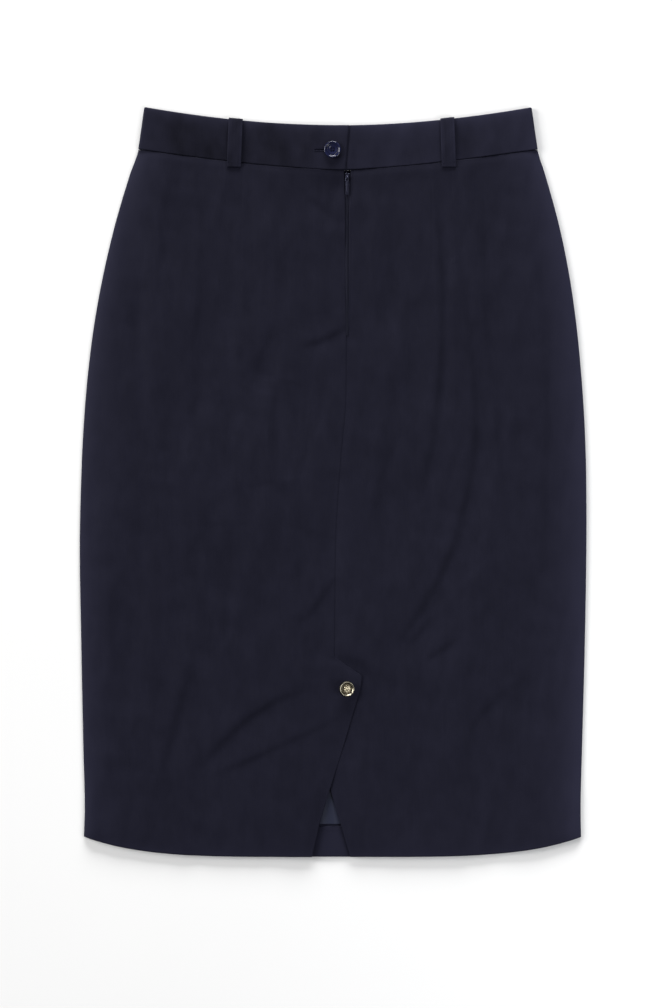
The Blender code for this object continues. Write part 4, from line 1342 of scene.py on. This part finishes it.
def drilled(form):
    """A button's form with its four holes cut through."""
    drill_form = bmesh.new()
    for index in range(4):
        angle = math.pi / 2 * (index + 0.5)
        hole = Vector((math.cos(angle), math.sin(angle), 0.0)) * HOLE_SPREAD
        bmesh.ops.create_cone(
            drill_form, cap_ends=True, segments=20, radius1=HOLE_RADIUS, radius2=HOLE_RADIUS,
            depth=20.0, matrix=Matrix.Translation(hole),
        )
    button = in_scene("button", mesh_of(form, "button"))
    drill = in_scene("drill", mesh_of(drill_form, "drill"))
    cut = button.modifiers.new("holes", "BOOLEAN")
    cut.operation = "DIFFERENCE"
    cut.solver = "EXACT"
    cut.object = drill
    form = form_of(button)
    bpy.data.objects.remove(drill, do_unlink=True)
    return form


button_form = drilled(turned_form(WAIST_BUTTON_RINGS, WAIST_BUTTON_RADIUS, WAIST_BUTTON_HEIGHT))
bmesh.ops.translate(button_form, vec=(*WAIST_BUTTON, WAIST_BUTTON_BASE), verts=button_form.verts)
navy_resin = hard_finish(
    "navy_resin", RESIN_GRAIN, RESIN_DARK, RESIN_LIGHT,
    smoothest=0.12, uneven=0.12, gloss=0.45, detail=3.0,
)
waist_button = finished(button_form, "waist_button_resin", navy_resin)
waist_button.data.set_sharp_from_angle(angle=math.radians(50))
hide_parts("waist_button")

thread_form = bmesh.new()
for side in (-1, 1):
    for strand in (-STRAND_SPREAD, 0.0, STRAND_SPREAD):
        x = WAIST_BUTTON[0] + side * HOLE_SPREAD * math.cos(math.pi / 4) + strand
        place = (x, WAIST_BUTTON[1], STRAND_HEIGHT - abs(strand) / 3)
        add_ball(thread_form, STRAND, place, math.pi / 2 + STRAND_TURN * side)
navy_thread = hard_finish(
    "navy_thread", NYLON_GRAIN, THREAD_DARK, THREAD_LIGHT,
    smoothest=0.55, uneven=0.1, gloss=0.1, tint=BLUISH,
)
button_thread = finished(thread_form, "waist_button_thread", navy_thread)

# Vent's button
# A shank button of cast metal with a pale gold finish, 14 mm across. It has a plain round rim, a
# dark recess, and a small raised flower in the middle, and leans a little on its shank.
VENT_BUTTON = (12.1, -183.3)
VENT_BUTTON_RADIUS = 7.0
VENT_BUTTON_HEIGHT = 3.2
VENT_BUTTON_TILT = math.radians(14)
VENT_SHANK_RADIUS = 1.6
VENT_SHANK_HEIGHT = 2.6
VENT_BUTTON_FOOT = 5.5
VENT_BUTTON_RINGS = [
    Ring(0.00, 0.66),
    Ring(0.20, 0.64),
    Ring(0.45, 0.58),
    Ring(0.60, 0.54),
    Ring(0.68, 0.55),
    Ring(0.73, 0.68),
    Ring(0.77, 0.84),
    Ring(0.82, 0.94),
    Ring(0.88, 0.98),
    Ring(0.93, 0.94),
    Ring(0.97, 0.82),
    Ring(1.00, 0.62),
    Ring(0.98, 0.42),
    Ring(0.90, 0.24),
    Ring(0.70, 0.10),
    Ring(0.45, 0.03),
    Ring(VENT_SHANK_RADIUS / VENT_BUTTON_RADIUS, 0.00),
    Ring(VENT_SHANK_RADIUS / VENT_BUTTON_RADIUS, -VENT_SHANK_HEIGHT / VENT_BUTTON_HEIGHT),
    Ring(0.00, -VENT_SHANK_HEIGHT / VENT_BUTTON_HEIGHT),
]
PETALS = 8
PETAL_RING = 2.15
PETAL_TILT = 0.2
PETAL_SIZE = (2.5, 1.45, 1.3)
PETAL_HEIGHT = 0.62 * VENT_BUTTON_HEIGHT
DOME_SIZE = (2.2, 2.2, 1.7)
DOME_HEIGHT = PETAL_HEIGHT + 0.2


def gold_finish(centre):
    """Pale gold plate, with dark tarnish left in the recess inside the rim, and painted shade round its
    outer edge.
    """
    material, place, shader = new_finish("pale_gold", 0.25, metallic=1.0)
    off_centre = place.node("ShaderNodeVectorMath", {0: place, 1: centre}, operation="SUBTRACT")
    reach = place.node("ShaderNodeVectorMath", {0: off_centre}, output="Value", operation="LENGTH")
    grime = place.noise((700.0, 700.0, 700.0), 4.0)
    share = reach * (0.9 / (VENT_BUTTON_RADIUS * MM)) + grime * 0.1
    # The dark ring inside the rim is tarnish in the recess; the last dark stop is painted shade on the
    # button's outer edge.
    stops = [
        (0.0, (0.58, 0.52, 0.38, 1.0)),
        (0.38, (0.44, 0.39, 0.28, 1.0)),
        (0.46, (0.04, 0.033, 0.022, 1.0)),
        (0.67, (0.035, 0.030, 0.020, 1.0)),
        (0.75, (0.44, 0.40, 0.31, 1.0)),
        (0.82, (0.37, 0.34, 0.26, 1.0)),
        (0.88, (0.03, 0.027, 0.022, 1.0)),
    ]
    place.node("ShaderNodeValToRGB", {"Fac": share}, stops=stops).into(shader, "Base Color")
    (grime * 0.3 + 0.14).into(shader, "Roughness")
    grime.bumps(shader, 0.15, 0.1)
    return material


gold_form = turned_form(VENT_BUTTON_RINGS, VENT_BUTTON_RADIUS, VENT_BUTTON_HEIGHT)
for index in range(PETALS):
    angle = 2 * math.pi * (index + 0.5) / PETALS
    place = (PETAL_RING * math.cos(angle), PETAL_RING * math.sin(angle), PETAL_HEIGHT)
    add_ball(gold_form, PETAL_SIZE, place, angle, PETAL_TILT, 20, 12)
add_ball(gold_form, DOME_SIZE, (0.0, 0.0, DOME_HEIGHT), u_segments=24, v_segments=14)
lean = Matrix.Rotation(VENT_BUTTON_TILT, 4, "Y")
lift = VENT_BUTTON_FOOT + VENT_SHANK_RADIUS * math.sin(VENT_BUTTON_TILT)
lift += VENT_SHANK_HEIGHT * math.cos(VENT_BUTTON_TILT)
shift = VENT_SHANK_HEIGHT * math.sin(VENT_BUTTON_TILT) / 2
spot = Vector((VENT_BUTTON[0] - shift, VENT_BUTTON[1], lift))
bmesh.ops.transform(gold_form, matrix=Matrix.Translation(spot) @ lean, verts=gold_form.verts)
gold_centre = (spot + lean @ Vector((0.0, 0.0, PETAL_HEIGHT))) * MM
vent_button = finished(gold_form, "vent_button_gold", gold_finish(gold_centre))
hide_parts("vent_button")

# Stitches
# Navy thread sunk a little into the cloth: one row beside the zip, a bar at each belt loop's foot,
# the small catching stitches along the turned-up hem in the vent, and the buttonhole's edge.
THREAD = 0.36
STITCH = (2.3, THREAD, THREAD)
STITCH_PITCH = 2.9
ZIP_STITCHES_TOP = 268.0
ACROSS = math.pi / 2
LOOP_BAR_SHARES = (-0.36, -0.12, 0.12, 0.36)
LOOP_BAR_UP = 4.2
LOOP_BAR_SLANT = 0.12
CATCH = (1.61, THREAD, THREAD)
CATCHES_REACH = 30.0
CATCHES_IN_HEM = 3.6
SLIT_STITCH = (1.2, 0.4, 0.32)
SLIT_STITCH_PITCH = 0.45
SLIT_STITCH_SHIFT = 0.95


def row_down(x, y):
    """How far down the panel a point lies, the reverse of row_height."""
    top = line_height(WAIST_SEAM, x) - SEAM_GAP / 2
    return SKIRT_LENGTH * (top - y) / (top - line_height(HEM, x))


def add_stitch(size, x, y, z, turn=0.0):
    add_ball(stitch_form, size, (x, y, z), turn, u_segments=6, v_segments=5)


stitch_form = bmesh.new()
zip_y = np.arange(ZIP_END + 3.0, ZIP_STITCHES_TOP, STITCH_PITCH)
zip_x = right_inner(zip_y) + TOPSTITCH_FROM_EDGE
for x, y, z in zip(zip_x, zip_y, right_face(zip_x, zip_y, row_down(zip_x, zip_y))):
    add_stitch(STITCH, x, y, z - 0.02, ACROSS)
for loop in LOOPS:
    line_y, line_z, _ = loop_line(loop.x)
    for share in LOOP_BAR_SHARES:
        x = loop.x + loop.slant + share * LOOP_WIDTH
        y = LOOP_FOOT + LOOP_BAR_UP + (x - loop.x) * math.copysign(LOOP_BAR_SLANT, loop.x)
        add_stitch(STITCH, x, y, np.interp(-y, -line_y, line_z) + LOOP_WALL / 2 + 0.06)
for x in np.arange(-CATCHES_REACH, CATCHES_REACH + 1.0, STITCH_PITCH):
    add_stitch(CATCH, x, row_height(x, HEM_STEP + CATCHES_IN_HEM), 2 * CLOTH + 0.02)
for x in np.arange(SLIT_LEFT + 0.4, SLIT_RIGHT, SLIT_STITCH_PITCH):
    rise = BAND_RAISE * smoothstep(BAND_RAISE_FROM, BAND_RAISE_TO, x)
    slit_face = BAND_MID_BACK + rise + BAND_WALL / 2 + 0.08
    for y in (SLIT_HEIGHT - SLIT_STITCH_SHIFT, SLIT_HEIGHT + SLIT_STITCH_SHIFT):
        add_stitch(SLIT_STITCH, x, y, slit_face, ACROSS)
stitching = finished(stitch_form, "stitching", navy_thread)

# Floor, lights and camera
# A white table under a camera that looks straight down. One broad light comes from the upper left,
# a weaker one from the right, and one from beyond the waist draws the soft shadow below the hem.
VIEW_CENTRE = (2.6, -19.5)
VIEW_HEIGHT = 897.0
LENS = 85.0
SENSOR = 36.0
FLOOR_DROP = 0.3
FLOOR_SIZE = 9.0


def white_table():
    form = bmesh.new()
    bmesh.ops.create_grid(form, x_segments=1, y_segments=1, size=FLOOR_SIZE / 2)
    bmesh.ops.translate(form, verts=form.verts, vec=(0.0, 0.0, -FLOOR_DROP * MM))
    table = in_scene("table", mesh_of(form, "table"))
    material, place, shader = new_finish("table_white", 0.9, 0.2)
    grain = place.noise((3.0, 3.0, 3.0))
    grain.colours((0.75, 0.75, 0.75), (0.77, 0.77, 0.77)).into(shader, "Base Color")
    table.data.materials.append(material)


def soft_light(name, place, size, power, colour, aim=(0.0, 0.0, 0.0)):
    light = bpy.data.lights.new(name, "AREA")
    light.shape = "RECTANGLE"
    light.size, light.size_y = size
    light.energy = power
    light.color = colour
    lamp = in_scene(name, light)
    lamp.location = place
    lamp.rotation_euler = (Vector(aim) - Vector(place)).to_track_quat("-Z", "Y").to_euler()


white_table()
soft_light("left_light", (-4.2, 1.3, 2.0), size=(3.0, 2.6), power=285.0, colour=(1.0, 0.99, 0.97))
soft_light(
    "right_light", (0.95, -0.4, 1.0), size=(0.6, 1.0), power=10.0, colour=(0.97, 0.98, 1.0),
    aim=(0.15, -0.1, 0.0),
)
soft_light("waist_light", (0.0, 7.0, 1.9), size=(6.0, 2.2), power=1050.0, colour=(1.0, 1.0, 1.0))

world = bpy.data.worlds.new("pale_room")
bpy.context.scene.world = world
world.use_nodes = True
room = world.node_tree.nodes["Background"].inputs
room["Color"].default_value = (0.95, 0.97, 1.0, 1.0)
room["Strength"].default_value = 0.14

camera = in_scene("camera", bpy.data.cameras.new("camera"))
camera.data.lens = LENS
camera.data.sensor_width = SENSOR
camera.location = (VIEW_CENTRE[0] * MM, VIEW_CENTRE[1] * MM, VIEW_HEIGHT * LENS / SENSOR * MM)
bpy.context.scene.camera = camera
bpy.context.scene.view_settings.view_transform = "Standard"
